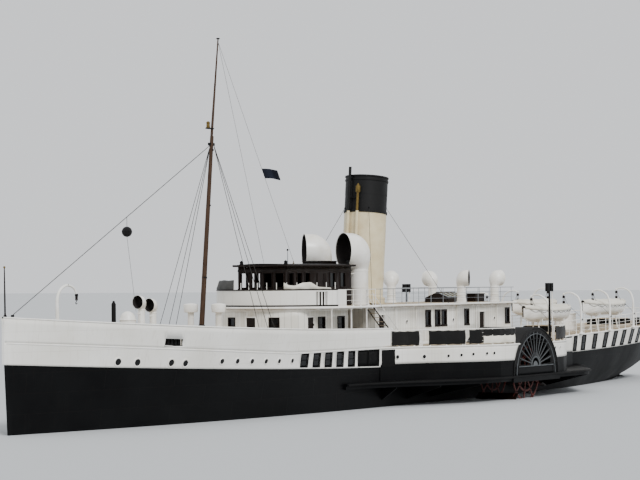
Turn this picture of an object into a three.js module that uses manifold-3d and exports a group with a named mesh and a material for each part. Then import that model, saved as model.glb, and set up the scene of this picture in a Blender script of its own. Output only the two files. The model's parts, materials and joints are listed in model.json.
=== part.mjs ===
// A half-size scale model of an excursion paddle steamer, as an assembly of named solids.
// Everything is drawn in metres of the full-size ship; the outer group turns them into model millimetres.
// +X is the bow, +Y is port, +Z is up, and the origin is amidships on the waterline.
import * as THREE from "three";
import { mergeVertices } from "three/addons/utils/BufferGeometryUtils.js";
import Module from "manifold-3d";

const wasm = await Module();
wasm.setup();

const modelScale = 0.5;
const mmPerShipMetre = 1000 * modelScale;
const seat = 0.3 / mmPerShipMetre; // gap between solids that rest on one another
const running = 0.8 / mmPerShipMetre; // gap round a shaft, a pin or a davit's heel
const clear = 6 / mmPerShipMetre; // gap round a moving leaf

const draught = 2.1;
const keelHalf = 0.12;
const stemHalf = 0.06;
const hullHalf = 4.58;
const waterlineHalf = 4.5;
const plating = 0.07;
const deckThick = 0.1;
const promenade = 3.8;
const boatDeck = 6.5;

// The stem and stern lines, and the stretch of straight middle body between the two ends.
// The stem rakes forward by the time it has risen to the height called rake.
const bow = { start: 6, end: 37.3, waterline: 37.0, rake: 4.97, forefoot: 1.5, flatTo: 14 };
const stern = { start: -8, end: -40, post: -36, flatTo: -22, counterFoot: 0.35, counterTop: 1.65 };

const wheel = { x: -5.8, z: 1.65, radius: 2.6, inner: 5.15, outer: 8.25, floats: 9 };
const shaft = { radius: 0.2, end: 8.58, sides: 24, boreSides: 32 };
const paddleBox = { radius: 3.15, inner: 4.66, outer: 8.75, plate: 0.08, sides: 40 };

const paint = {
  black: finish(0x17181a, 0.5, 0),
  white: finish(0xe6e4de, 0.45, 0),
  buff: finish(0xcdb68c, 0.45, 0),
  teak: finish(0x8a6b47, 0.7, 0),
  darkTeak: finish(0x3a2316, 0.35, 0),
  red: finish(0x6e2a22, 0.6, 0),
  iron: finish(0x3b3d40, 0.5, 0.6),
  flag: finish(0x2c3242, 0.9, 0),
};

const ship = new THREE.Group();
ship.scale.setScalar(mmPerShipMetre);

function finish(color, roughness, metalness) {
  return new THREE.MeshStandardMaterial({ color, roughness, metalness });
}

// A closed solid from corner points and triangles. Rings that run the other way round are turned.
function solidFrom(points, triangles) {
  const whole = triangles.filter(([a, b, c]) => a !== b && b !== c && c !== a);
  const build = (faces) =>
    new wasm.Manifold(
      new wasm.Mesh({
        numProp: 3,
        vertProperties: new Float32Array(points.flat()),
        triVerts: new Uint32Array(faces.flat()),
      }),
    );
  const made = build(whole);
  return made.volume() < 0 ? build(whole.map(([a, b, c]) => [a, c, b])) : made;
}

function fromGeometry(geometry) {
  const loose = geometry.index ? geometry.toNonIndexed() : geometry;
  const bare = new THREE.BufferGeometry();
  bare.setAttribute("position", loose.getAttribute("position"));
  const merged = mergeVertices(bare, 1e-5);
  const { array } = merged.attributes.position;
  const points = Array.from({ length: array.length / 3 }, (_, i) => [...array.slice(3 * i, 3 * i + 3)]);
  const faces = merged.index.array;
  const triangles = Array.from({ length: faces.length / 3 }, (_, i) => [...faces.slice(3 * i, 3 * i + 3)]);
  return solidFrom(points, triangles);
}

function toGeometry(solid) {
  const { vertProperties, triVerts } = solid.getMesh();
  const geometry = new THREE.BufferGeometry();
  geometry.setAttribute("position", new THREE.BufferAttribute(new Float32Array(vertProperties), 3));
  geometry.setIndex(new THREE.BufferAttribute(new Uint32Array(triVerts), 1));
  geometry.computeVertexNormals();
  return geometry;
}

const join = (...solids) => solids.flat().reduce((sum, next) => sum.add(next));
const mirrored = (solid) => solid.mirror([0, 1, 0]);
const cut = (body, ...tools) => tools.flat().reduce((rest, tool) => rest.subtract(tool), body);

// Adds a solid to the ship as a named mesh, with an optional place, turn about Z and mirroring.
function piece(name, material, solid, { at = [0, 0, 0], turn = 0, mirror = false } = {}) {
  const mesh = new THREE.Mesh(toGeometry(solid), material);
  mesh.name = name;
  mesh.position.set(at[0], mirror ? -at[1] : at[1], at[2]);
  mesh.rotation.z = mirror ? -turn : turn;
  mesh.scale.y = mirror ? -1 : 1;
  ship.add(mesh);
}

function bothSides(name, material, solid, place = {}) {
  piece(name + "_port", material, solid, place);
  piece(name + "_stbd", material, solid, { ...place, mirror: true });
}

function box([x0, x1], [y0, y1], [z0, z1]) {
  const geometry = new THREE.BoxGeometry(x1 - x0, y1 - y0, z1 - z0);
  geometry.translate((x0 + x1) / 2, (y0 + y1) / 2, (z0 + z1) / 2);
  return fromGeometry(geometry);
}

function rod(from, to, radius, sides = 8, endRadius = radius) {
  const a = new THREE.Vector3(...from);
  const b = new THREE.Vector3(...to);
  const along = b.clone().sub(a);
  const geometry = new THREE.CylinderGeometry(endRadius, radius, along.length(), sides);
  const turn = new THREE.Quaternion().setFromUnitVectors(new THREE.Vector3(0, 1, 0), along.normalize());
  geometry.applyQuaternion(turn);
  const middle = a.add(b).multiplyScalar(0.5);
  geometry.translate(middle.x, middle.y, middle.z);
  return fromGeometry(geometry);
}

function ball(at, radius, sides = 12) {
  const geometry = new THREE.SphereGeometry(radius, sides, sides / 2);
  geometry.translate(...at);
  return fromGeometry(geometry);
}

// A round tube through points, with its corners rounded by a curve.
function tube(points, radius, sides, steps) {
  const path = new THREE.CatmullRomCurve3(points.map((p) => new THREE.Vector3(...p)));
  const round = new THREE.Shape(circle(0, 0, radius, sides).map(([x, y]) => new THREE.Vector2(x, y)));
  return fromGeometry(new THREE.ExtrudeGeometry(round, { steps, bevelEnabled: false, extrudePath: path }));
}

function circle(x, y, radius, sides, from = 0, to = 2 * Math.PI) {
  const whole = to - from > 6.28;
  const count = whole ? sides : sides + 1;
  return Array.from({ length: count }, (_, i) => {
    const angle = from + ((to - from) * i) / sides;
    return [x + radius * Math.cos(angle), y + radius * Math.sin(angle)];
  });
}

// A plan outline raised from z0 to z1.
function prism(outline, [z0, z1]) {
  const shape = new THREE.Shape(outline.map(([x, y]) => new THREE.Vector2(x, y)));
  const geometry = new THREE.ExtrudeGeometry(shape, { depth: z1 - z0, bevelEnabled: false });
  geometry.translate(0, 0, z0);
  return fromGeometry(geometry);
}

// An outline in side view (x, z) drawn out across the ship from y0 to y1.
function profile(outline, [y0, y1], holes = []) {
  const toShape = (points, Kind) => new Kind(points.map(([x, z]) => new THREE.Vector2(x, z)));
  const shape = toShape(outline, THREE.Shape);
  shape.holes = holes.map((hole) => toShape(hole, THREE.Path));
  const geometry = new THREE.ExtrudeGeometry(shape, { depth: y1 - y0, bevelEnabled: false });
  geometry.rotateX(Math.PI / 2);
  geometry.translate(0, y1, 0);
  return fromGeometry(geometry);
}

const moved = (solid, matrix) => fromGeometry(toGeometry(solid).applyMatrix4(matrix));

// An outline in end view (y, z) drawn out along the ship from x0 to x1.
function profileAcross(outline, [x0, x1]) {
  const axes = [new THREE.Vector3(0, 1, 0), new THREE.Vector3(0, 0, 1), new THREE.Vector3(1, 0, 0)];
  const standing = new THREE.Matrix4().makeBasis(...axes).setPosition(x0, 0, 0);
  return moved(prism(outline, [0, x1 - x0]), standing);
}

// A turned solid on a vertical axis, from [radius, height] pairs that start and end on the axis.
function turned(pairs, sides) {
  const geometry = new THREE.LatheGeometry(pairs.map(([r, z]) => new THREE.Vector2(r, z)), sides);
  geometry.rotateX(Math.PI / 2);
  return fromGeometry(geometry);
}

// A solid through closed rings of equal length, with a fan at either end.
function loft(rings) {
  const n = rings[0].length;
  const points = rings.flat();
  const triangles = ringSides(rings.length, n, () => false);
  for (const [first, last] of [[0, false], [(rings.length - 1) * n, true]]) {
    const ring = points.slice(first, first + n);
    const centre = points.length;
    points.push([0, 1, 2].map((k) => ring.reduce((sum, p) => sum + p[k], 0) / n));
    for (let i = 0; i < n; i += 1) {
      const a = first + i;
      const b = first + ((i + 1) % n);
      triangles.push(last ? [a, b, centre] : [b, a, centre]);
    }
  }
  return solidFrom(points, triangles);
}

function ringSides(count, n, turned) {
  const triangles = [];
  for (let r = 0; r + 1 < count; r += 1)
    for (let i = 0; i < n; i += 1) {
      const a = r * n + i;
      const b = r * n + ((i + 1) % n);
      if (turned(i)) triangles.push([a, b, a + n], [b, b + n, a + n]);
      else triangles.push([a, b, b + n], [a, b + n, a + n]);
    }
  return triangles;
}

// A solid that is the same on both sides: each station lists its port points from the bottom up.
// The faces are mirror images too, and either end is closed by a strip from side to side.
function hullLoft(stations) {
  const rings = stations.map((port) => [...port, ...port.map(([x, y, z]) => [x, -y, z]).reverse()]);
  const n = rings[0].length;
  const half = n / 2;
  const triangles = ringSides(rings.length, n, (i) => i >= half);
  for (const [first, last] of [[0, false], [(rings.length - 1) * n, true]])
    for (let i = 0; i + 1 < half; i += 1) {
      const [a, b, c, d] = [first + i, first + i + 1, first + n - 2 - i, first + n - 1 - i];
      triangles.push(...(last ? [[a, b, c], [a, c, d]] : [[a, c, b], [a, d, c]]));
    }
  return solidFrom(rings.flat(), triangles);
}

// The ship's lines.

// Lengths at which the hull is drawn: close together where its lines bend.
const stationAt = [
  -40, -39.7, -39, -37.8, -35.8, -33, -29.5, -26, -22, -18, -14, -8,
  6, 14, 17, 20.5, 24, 27.5, 30.5, 33, 35.2, 36.6, 37.3,
];

const range = (count, value) => Array.from({ length: count }, (_, i) => value(i));
const smooth = (t) => t * t * (3 - 2 * t);
const clamp = (t) => Math.min(1, Math.max(0, t));

function stemX(z) {
  if (z > 0) return bow.waterline + (bow.end - bow.waterline) * (z / bow.rake);
  return bow.waterline - bow.forefoot * (-z / draught) ** 3;
}

function sternX(z) {
  const rise = clamp((z - stern.counterFoot) / (stern.counterTop - stern.counterFoot));
  return stern.post + (stern.end - stern.post) * rise ** 0.8;
}

// The length parameter s is the place along the deck line, and 0 to 1 from the middle body to either end.
const forward = (s) => clamp((s - bow.start) / (bow.end - bow.start));
const aft = (s) => clamp((stern.start - s) / (stern.start - stern.end));

function deckHalf(s) {
  if (s >= 0) return hullHalf * (1 - clamp((s - bow.flatTo) / (bow.end - bow.flatTo)) ** 2.2);
  return hullHalf * Math.sqrt(1 - clamp((stern.flatTo - s) / (stern.flatTo - stern.end)) ** 2.7);
}

function sheer(s) {
  if (s < -14) return promenade + 0.76 * ((-14 - s) / 26) ** 1.15;
  return promenade + 0.0575 * Math.max(0, s - 17);
}

// The height of the deck, straight between the stations as the deck itself is.
function deckTop(s) {
  const next = Math.max(1, stationAt.findIndex((station) => station >= s));
  const [a, b] = [stationAt[next - 1], stationAt[next]];
  return sheer(a) + ((sheer(b) - sheer(a)) * (s - a)) / (b - a);
}

const bulwarkTop = (s) => 5.0 + 1.3 * clamp((s - 5.6) / 31.8) ** 1.75;
const paintLine = (s) => 2.45 + (s > 0 ? 1.3 * (s / 37) ** 1.6 : 0.75 * (s / 40) ** 2);

// The height at which something that reaches this far fore and aft rests on the sloping deck.
const restOn = (x, reach) => Math.max(deckTop(x - reach), deckTop(x + reach)) + seat;

const sideFlare = 1.2;

// A point of the ship's port side at length s and height z, moved out by grow. At deck height x is s.
function side(s, z, grow = 0) {
  const v = s > 0 ? forward(s) : aft(s);
  const x = s > 0 ? s + v * (stemX(z) - stemX(deckTop(s))) : s + v * (sternX(z) - stern.end);
  const atWater = waterlineHalf * (1 - v ** (s > 0 ? 1.9 : 2.4));
  const flare = s > 0 ? sideFlare : sideFlare - 0.7 * v;
  const full = 5 - 3.2 * v;
  const half =
    z > 0
      ? atWater + (deckHalf(s) - atWater) * (z / deckTop(s)) ** flare
      : Math.max(keelHalf * (1 - v), atWater * Math.max(0, 1 - (-z / draught) ** full) ** (1 / full));
  return [x, Math.max(half, stemHalf) + grow, z];
}

const levels = { under: [-1, -0.97, -0.85, -0.6, -0.3, 0], over: [0.35, 0.75, 1.2, 1.65] };

function hullStations(grow, tops) {
  return stationAt.map((s) => {
    const under = levels.under.map((t) => t * draught);
    const upTo = tops.map((top) => top(s));
    return [...under, ...levels.over, ...upTo].map((z) => side(s, z, grow));
  });
}

const underDeck = (s) => deckTop(s) - deckThick - seat;
const hullBody = hullLoft(hullStations(0, [paintLine]));
// The space that the sponsons keep free for the hull and the deck.
const hullSpace = hullLoft(hullStations(seat, [paintLine, underDeck, (s) => deckTop(s) + 1]));

// The ship's width between two heights, from one place along her to another.
function sideBand(from, to, low, high, grow = 0) {
  const at = [from, ...stationAt.filter((s) => s > from && s < to), to];
  return hullLoft(at.map((s) => [side(s, low(s), grow), side(s, high(s), grow)]));
}

// Sponsons: the guard's outline and the narrower outline of the houses on it, each flared from the hull.
const sponson = {
  guard: { fore: 11.3, fullFore: -1, fullAft: -13, aft: -21 },
  house: { fore: 7.3, fullFore: -2.5, fullAft: -8.9, aft: -19.3 },
  half: 8.75,
  slab: 0.35,
  guardTop: 1.65,
};

function sponsonHalf(line, x) {
  const fromFore = (line.fore - x) / (line.fore - line.fullFore);
  const fromAft = (x - line.aft) / (line.fullAft - line.aft);
  const out = x > line.fullFore ? fromFore : fromAft;
  return hullHalf + (sponson.half - hullHalf) * smooth(clamp(out));
}

// A block of the sponson that follows an outline, between two heights that may change along the ship.
function sponsonBlock(line, inner, extra, low, high) {
  const steps = 8;
  const foreEnd = range(steps + 1, (i) => line.fore + ((line.fullFore - line.fore) * i) / steps);
  const aftEnd = range(steps + 1, (i) => line.fullAft + ((line.aft - line.fullAft) * i) / steps);
  const deckStations = stationAt.filter((x) => x > line.aft && x < line.fore);
  const xs = [...new Set([...foreEnd, ...aftEnd, ...deckStations])];
  return loft(
    xs.sort((a, b) => a - b).map((x) => {
      const out = sponsonHalf(line, x) + extra;
      return [[x, inner, low(x)], [x, out, low(x)], [x, out, high(x)], [x, inner, high(x)]];
    }),
  );
}

const boxRound = (radius, y) => profile(circle(wheel.x, wheel.z, radius, paddleBox.sides), y);
const boxSpace = boxRound(paddleBox.radius + seat, [paddleBox.inner - 0.03, 10]);

function buildHull() {
  const machinery = box([-11.5, 6.5], [-3.3, 3.3], [-1.6, 3]);
  const shaftBore = profile(circle(wheel.x, wheel.z, shaft.radius + running, shaft.boreSides), [-5, 5]);
  const { x, stock, stockTop } = rudder;
  const rudderBore = rod([x, 0, 0.2], [x, 0, stockTop + 0.1], stock + running, 24);
  piece("hull", paint.black, cut(hullBody, machinery, shaftBore, rudderBore));

  const recesses = sideOpenings.map(({ x, width, low, high }) =>
    box([x - width / 2, x + width / 2], [hullHalf - recessDepth, hullHalf + 0.2], [low, high]),
  );
  const band = (from, to) => sideBand(from, to, (s) => paintLine(s) + seat, underDeck);
  const sockets = davitSockets();
  const bodies = sockets.flatMap(({ body }) => [body, mirrored(body)]);
  const bores = sockets.flatMap(({ bore }) => [bore, mirrored(bore)]);
  piece("topsides_aft", paint.white, cut(join(band(stern.end, joints.topsides), bodies), bores));
  const foreBand = band(joints.topsides + seat, bow.end);
  piece("topsides", paint.white, cut(foreBand, recesses, recesses.map(mirrored)));
  buildMachinery();
}

// Where the topsides and the deck are joined end to end, at the foot of the sheer aft and forward.
const joints = { topsides: -14, deck: 17 };

// The large windows and the gangway ports of the main deck: centre, width and heights.
const recessDepth = 0.25;
const sideOpenings = [
  ...range(5, (i) => ({ x: 15.7 - 1.27 * i, width: 0.75, low: 2.85, high: 3.6 })),
  { x: 8.68, width: 2.3, low: 2.6, high: 3.6 },
  { x: 6.37, width: 1.5, low: 2.6, high: 3.6 },
];

// The engine is a plain block, joined by its steam pipe to a boiler on two saddles.
function buildMachinery() {
  const floor = -1.6 + seat;
  const block = box([-10.6, -2.6], [-1.9, 1.9], [floor, 1.25]);
  const steamPipe = rod([-2.8, 0, 0.9], [-1.2, 0, 0.9], 0.2, 10);
  const drum = rod([-1.4, 0, 0], [5.4, 0, 0], 1.75, 20);
  const saddles = [-0.6, 4].map((x) => box([x, x + 0.5], [-1.2, 1.2], [floor, -0.8]));
  const under = box([-3, 6.5], [-3, 3], [-3, floor]);
  piece("engine", paint.iron, cut(join(block, steamPipe, drum, saddles), under));
}

function buildPromenadeDeck() {
  const deck = (from, to) => sideBand(from, to, (s) => deckTop(s) - deckThick, deckTop, 0.03);
  const wing = sponsonBlock(sponson.house, hullHalf + 0.01, 0.04, (x) => deckTop(x) - deckThick, deckTop);
  const wings = [wing, mirrored(wing)];
  const boxes = [boxSpace, mirrored(boxSpace)];
  piece("promenade_deck", paint.teak, cut(join(deck(stern.end, joints.deck), wings), boxes));
  piece("foredeck", paint.teak, deck(joints.deck + seat, bow.end));
}

const jackstaff = { foot: 37.18, top: 37.22, height: 8.97 };

function buildBulwark() {
  const from = 5.4;
  const outer = sideBand(from, bow.end, (s) => deckTop(s) + seat, bulwarkTop);
  const below = (s) => deckTop(s) - 0.5;
  const above = (s) => bulwarkTop(s) + 0.5;
  const inner = sideBand(from - 1, bow.end - 0.35, below, above, -plating);
  const capOuter = sideBand(from, bow.end, (s) => bulwarkTop(s) - 0.06, bulwarkTop, 0.03);
  const capHeights = [(s) => bulwarkTop(s) - 1, (s) => bulwarkTop(s) + 1];
  const capInner = sideBand(from - 1, bow.end - 0.9, ...capHeights, -0.12);
  const staff = rod([jackstaff.foot, 0, 6.1], [jackstaff.top, 0, jackstaff.height], 0.05, 8, 0.03);
  const port = box([26.4, 27.65], [-5, 5], [4.52, 4.91]);
  const truck = ball([jackstaff.top, 0, jackstaff.height], 0.07, 8);
  piece("bulwark", paint.white, join(cut(outer, inner, port), cut(capOuter, capInner), staff, truck));
}

function buildSponsons() {
  const inner = hullHalf - 0.4;
  const { guardTop } = sponson;
  const guard = sponsonBlock(sponson.guard, inner, 0, () => guardTop - sponson.slab, () => guardTop);
  const rub = sponsonBlock(sponson.guard, inner, 0.1, () => guardTop - 0.16, () => guardTop);
  const house = sponsonBlock(sponson.house, inner, 0, () => guardTop - 0.1, underDeck);
  const knees = [7, 4, 1, -12, -15].map((x) => knee(x, sponsonHalf(sponson.guard, x) - 0.15));
  const well = box([wheel.x - paddleBox.radius, wheel.x + paddleBox.radius], [0, 8.3], [-1, wheel.z]);
  const beam = box([wheel.x - 3.3, wheel.x + 3.3], [8.3, 8.85], [guardTop - 0.45, guardTop]);
  const bearing = box([wheel.x - 0.45, wheel.x + 0.45], [8.36, 8.6], [1.2, 2.1]);
  const bore = profile(circle(wheel.x, wheel.z, shaft.radius + running, shaft.boreSides), [8, 8.7]);
  const wheelSpace = boxRound(paddleBox.radius + seat, [4, 10]);
  const solid = cut(join(guard, rub, house, knees), wheelSpace, well, hullSpace);
  bothSides("sponson", paint.black, cut(join(solid, beam, bearing), bore));
}

// A bracket under the sponson, from the ship's side out to the guard.
function knee(x, out) {
  const outline = [[hullHalf - 0.3, 0.3], [out, 1.2], [out, 1.4], [hullHalf - 0.3, 1.4]];
  return profileAcross(outline, [x - 0.06, x + 0.06]);
}

// The fan of slots in a paddle box's face, centred above the guard.
const fan = { x: wheel.x + 0.1, z: 2.25, inner: 0.8, radius: 2.15, slots: 13, share: 0.52 };

function fanSlots() {
  const step = Math.PI / fan.slots;
  return range(fan.slots, (i) => {
    const middle = step * (i + 0.5);
    const half = (step * fan.share) / 2;
    const at = (radius, angle) => [fan.x + radius * Math.cos(angle), fan.z + radius * Math.sin(angle)];
    const corners = [[fan.inner, -half], [fan.radius, -half], [fan.radius, half], [fan.inner, half]];
    return corners.map(([radius, turn]) => at(radius, middle + turn));
  });
}

function buildPaddleBoxes() {
  const { radius, inner, outer, plate, sides } = paddleBox;
  const below = box([wheel.x - 5, wheel.x + 5], [0, 10], [wheel.z - 5, wheel.z + seat]);
  const face = profile(circle(wheel.x, wheel.z, radius, sides), [outer - plate, outer], fanSlots());
  const shell = cut(boxRound(radius, [inner, outer]), boxRound(radius - plate, [inner - 1, outer + 1]));
  const shaftHole = profile(circle(wheel.x, wheel.z, 0.6, 16), [4, 5]);
  const back = cut(boxRound(radius, [inner, inner + plate]), shaftHole);
  const rimOuter = boxRound(radius, [outer - plate, outer + 0.05]);
  const rim = cut(rimOuter, boxRound(radius - 0.22, [outer - 1, outer + 1]));
  const bearingSpace = box([wheel.x - 0.47, wheel.x + 0.47], [8.3, 8.62], [0, 2.13]);
  bothSides("paddle_box", paint.black, cut(join(shell, face, back, rim), below, bearingSpace));
}

function buildPaddles() {
  const axle = profile(circle(wheel.x, wheel.z, shaft.radius, shaft.sides), [-shaft.end, shaft.end]);
  piece("paddle_shaft", paint.iron, axle);
  const disc = (radius, y) => profile(circle(0, 0, radius, 18), y);
  const ring = (radius, width, y) =>
    cut(disc(radius + width / 2, [y + 0.01, y + 0.06]), disc(radius - width / 2, [y - 1, y + 1]));
  const frames = [wheel.inner + 0.25, wheel.outer - 0.32].map((y) => {
    const arms = range(wheel.floats, (i) => spoke((i * 2 * Math.PI) / wheel.floats, y));
    const boss = profile(circle(0, 0, 0.5, wheel.floats), [y - 0.1, y + 0.17]);
    return join(ring(1.8, 0.14, y), arms, boss);
  });
  const floats = range(wheel.floats, (i) => float((i * 2 * Math.PI) / wheel.floats));
  const sleeve = profile(circle(0, 0, 0.3, wheel.floats), [wheel.inner + 0.2, wheel.outer - 0.2]);
  const bore = profile(circle(0, 0, shaft.radius + seat, shaft.sides), [4, 9]);
  const whole = cut(join(frames, floats, sleeve), bore);
  bothSides("paddle_wheel", paint.red, whole, { at: [wheel.x, 0, wheel.z] });
}

const across = (angle) => new THREE.Matrix4().makeRotationY(-angle);

function spoke(angle, y) {
  return moved(box([0.4, 2.3], [y, y + 0.07], [-0.06, 0.06]), across(angle));
}

function float(angle) {
  const board = box([1.95, wheel.radius], [wheel.inner, wheel.outer], [-0.035, 0.035]);
  return moved(board, across(angle));
}

const rudder = { x: -36.32, after: -38.3, stock: 0.11, stockTop: 1.1, foot: -1.9, head: 0.12, half: 0.05 };

function buildRudder() {
  const { x, after, stock, stockTop, foot, head, half } = rudder;
  const heel = [[x, head], [x, foot], [x - 1.5, foot]];
  const outline = [...heel, [after, foot + 0.7], [after + 0.15, head - 0.4], [x - 0.6, head]];
  const plate = profile(outline, [-half, half]);
  piece("rudder", paint.black, join(plate, rod([x, 0, foot], [x, 0, stockTop], stock, 24)));
}

// Deckhouses. The lounge has a round front; each house is a ring of wall with its windows cut.

const lounge = { aft: 8.9, straightTo: 13.5, front: 15.0, half: 3.2, wall: 0.08 };
const house = { aft: -12.1, fore: 6.0, half: 3.4, wall: 0.08 };

function loungeOutline(inset) {
  const half = lounge.half - inset;
  const bulge = lounge.front - inset - lounge.straightTo;
  const front = range(13, (i) => {
    const angle = -Math.PI / 2 + (Math.PI * i) / 12;
    return [lounge.straightTo + bulge * Math.cos(angle), half * Math.sin(angle)];
  });
  return [[lounge.aft + inset, -half], ...front, [lounge.aft + inset, half]];
}

const rectangle = ([x0, x1], half) => [[x0, -half], [x1, -half], [x1, half], [x0, half]];
const houseHeight = [promenade + seat, boatDeck - deckThick - seat];

const loungeDoor = { x: [12.8, 13.45], low: promenade + 0.15, high: 5.85 };

function buildLounge() {
  const ring = cut(prism(loungeOutline(0), houseHeight), prism(loungeOutline(lounge.wall), [3, 7]));
  const doorway = box(loungeDoor.x, [-5, 5], [loungeDoor.low, loungeDoor.high]);
  const sideWindows = [9.7, 11.9].map((x) => box([x - 0.35, x + 0.35], [-5, 5], [4.9, 5.8]));
  const frontWindows = [-0.9, 0.9].map((angle) => {
    const turned = new THREE.Matrix4().makeRotationZ(angle).setPosition(lounge.straightTo, 0, 0);
    return moved(box([0, 5], [-0.3, 0.3], [4.9, 5.8]), turned);
  });
  const doorHeight = [loungeDoor.low, loungeDoor.high];
  const frontDoorway = box([lounge.straightTo, lounge.front + 1], [-0.36, 0.36], doorHeight);
  piece("lounge", paint.white, cut(ring, doorway, sideWindows, frontWindows, frontDoorway));
  const { x, low, high } = loungeDoor;
  const leaf = doorLeaf(x[1] - x[0], high - low);
  bothSides("lounge_door", paint.white, leaf, { at: [x[0], lounge.half, low] });
}

const hinge = { radius: 0.02, leaf: 0.05 };

// A door's leaf lies along +X from its jamb, just inside the wall's outer face, and its axis stands outside.
function doorLeaf(width, height) {
  const out = hinge.radius + seat;
  const leaf = box([clear, width - clear], [-hinge.leaf, 0], [clear, height - clear]);
  const knuckles = [0.25, 0.75].map((share) => {
    const z = height * share;
    return join(
      rod([-hinge.radius, out, z - 0.08], [-hinge.radius, out, z + 0.08], hinge.radius, 8),
      box([-hinge.radius, 0.1], [seat, out + 0.01], [z - 0.06, z + 0.06]),
      box([clear + 0.01, 0.1], [-0.01, out], [z - 0.06, z + 0.06]),
    );
  });
  return join(leaf, knuckles);
}

// The main deckhouse's side windows and doorways: centre, width and heights.
const houseOpenings = [
  { x: 5.2, width: 0.8, low: 3.95, high: 5.85 },
  { x: -0.6, width: 0.55, low: 5.05, high: 5.97 },
  { x: -1.85, width: 0.55, low: 5.05, high: 5.97 },
  { x: -2.7, width: 0.55, low: 5.05, high: 5.97 },
  { x: -5.76, width: 0.5, low: 5.05, high: 5.97 },
  { x: -7.9, width: 0.8, low: 3.95, high: 5.85 },
  { x: -11.53, width: 0.5, low: 5.05, high: 5.97 },
];

function buildHouse() {
  const ring = cut(
    prism(rectangle([house.aft, house.fore], house.half), houseHeight),
    prism(rectangle([house.aft + house.wall, house.fore - house.wall], house.half - house.wall), [3, 7]),
  );
  const openings = houseOpenings.map(({ x, width, low, high }) =>
    box([x - width / 2, x + width / 2], [-5, 5], [low, high]),
  );
  const afterWindows = [-2.3, 0, 2.3].map((y) =>
    box([house.aft - 1, house.aft + 1], [y - 0.4, y + 0.4], [4.9, 5.9]),
  );
  const inside = house.half - house.wall;
  const front = [house.fore - house.wall, house.fore];
  const open = box([front[0], house.fore + 1], [-inside, inside], [3, 7]);
  piece("deckhouse", paint.white, cut(ring, openings, afterWindows, open));
  const panel = inside - seat;
  piece("deckhouse_front", paint.white, box(front, [-panel, panel], houseHeight));
}

// The bridge front is an arc; aft of it the boat deck is a plain strip over the main house.
const bridge = { centre: 10.4, radius: 4.9, aft: 7.6, half: 4.6, screenTop: 7.55 };

function bridgeOutline(radius, half) {
  const ends = Math.asin(half / radius);
  const arc = circle(bridge.centre, 0, radius, 20, -ends, ends);
  return [[bridge.aft, -half], ...arc, [bridge.aft, half]];
}

function buildBoatDeck() {
  const thickness = [boatDeck - deckThick, boatDeck];
  const front = prism(bridgeOutline(bridge.radius, bridge.half), thickness);
  const strip = prism(rectangle([house.aft - 0.15, bridge.aft + 0.1], house.half + 0.3), thickness);
  const stanchions = [[12.4, 4.3], [10.26, 4.35], [8.5, 4.35]].flatMap(([x, y]) =>
    [1, -1].map((sign) => rod([x, sign * y, promenade + seat], [x, sign * y, boatDeck - 0.05], 0.05, 8)),
  );
  const locker = box([-11.6, -10.3], [0.35, 1.5], [boatDeck - 0.05, boatDeck + 0.55]);
  piece("boat_deck", paint.teak, join(front, strip, stanchions, deckLadder(1), deckLadder(-1), locker));
}

function deckLadder(sign) {
  const y = (offset) => sign * (3.72 + offset);
  const top = [bridge.aft + 0.1, boatDeck - 0.04];
  const foot = [4.35, promenade + 0.02];
  const strings = [0, 0.58].map((offset) =>
    rod([top[0], y(offset), top[1]], [foot[0], y(offset), foot[1] + 0.05], 0.045, 4),
  );
  const treads = range(6, (i) => {
    const t = (i + 0.8) / 6.6;
    const x = top[0] + (foot[0] - top[0]) * t;
    const z = top[1] + (foot[1] - top[1]) * t;
    const ys = [y(0), y(0.58)].sort((a, b) => a - b);
    return box([x - 0.1, x + 0.1], ys, [z - 0.02, z + 0.02]);
  });
  return join(strings, treads);
}

// Canvas dodgers laced above the bridge screen: where each starts and ends round its arc, and its rise.
const dodgerArcs = [
  { from: -0.95, to: -0.35, rise: 0.45 },
  { from: 0.3, to: 1.05, rise: 0.45 },
];

function buildBridgeScreen() {
  const ends = Math.asin(bridge.half / bridge.radius);
  const outer = circle(bridge.centre, 0, bridge.radius - 0.03, 24, -ends, ends);
  const inner = circle(bridge.centre, 0, bridge.radius - 0.09, 24, -ends, ends).reverse();
  const wall = prism([...outer, ...inner], [boatDeck + seat, bridge.screenTop]);
  const dodgers = dodgerArcs.map(({ from, to, rise }) => {
    const out = circle(bridge.centre, 0, bridge.radius - 0.04, 10, from, to);
    const back = circle(bridge.centre, 0, bridge.radius - 0.08, 10, from, to).reverse();
    return prism([...out, ...back], [bridge.screenTop - 0.05, bridge.screenTop + rise]);
  });
  piece("bridge_screen", paint.white, join(wall, dodgers));
}

const wheelhouse = { aft: 6.4, fore: 13.8, half: 1.85, wall: 0.08, top: 9.0, sill: 7.7, head: 8.6 };
const wheelhouseDoor = { x: [9.6, 10.3], low: boatDeck + 0.12, high: 8.55 };

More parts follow.
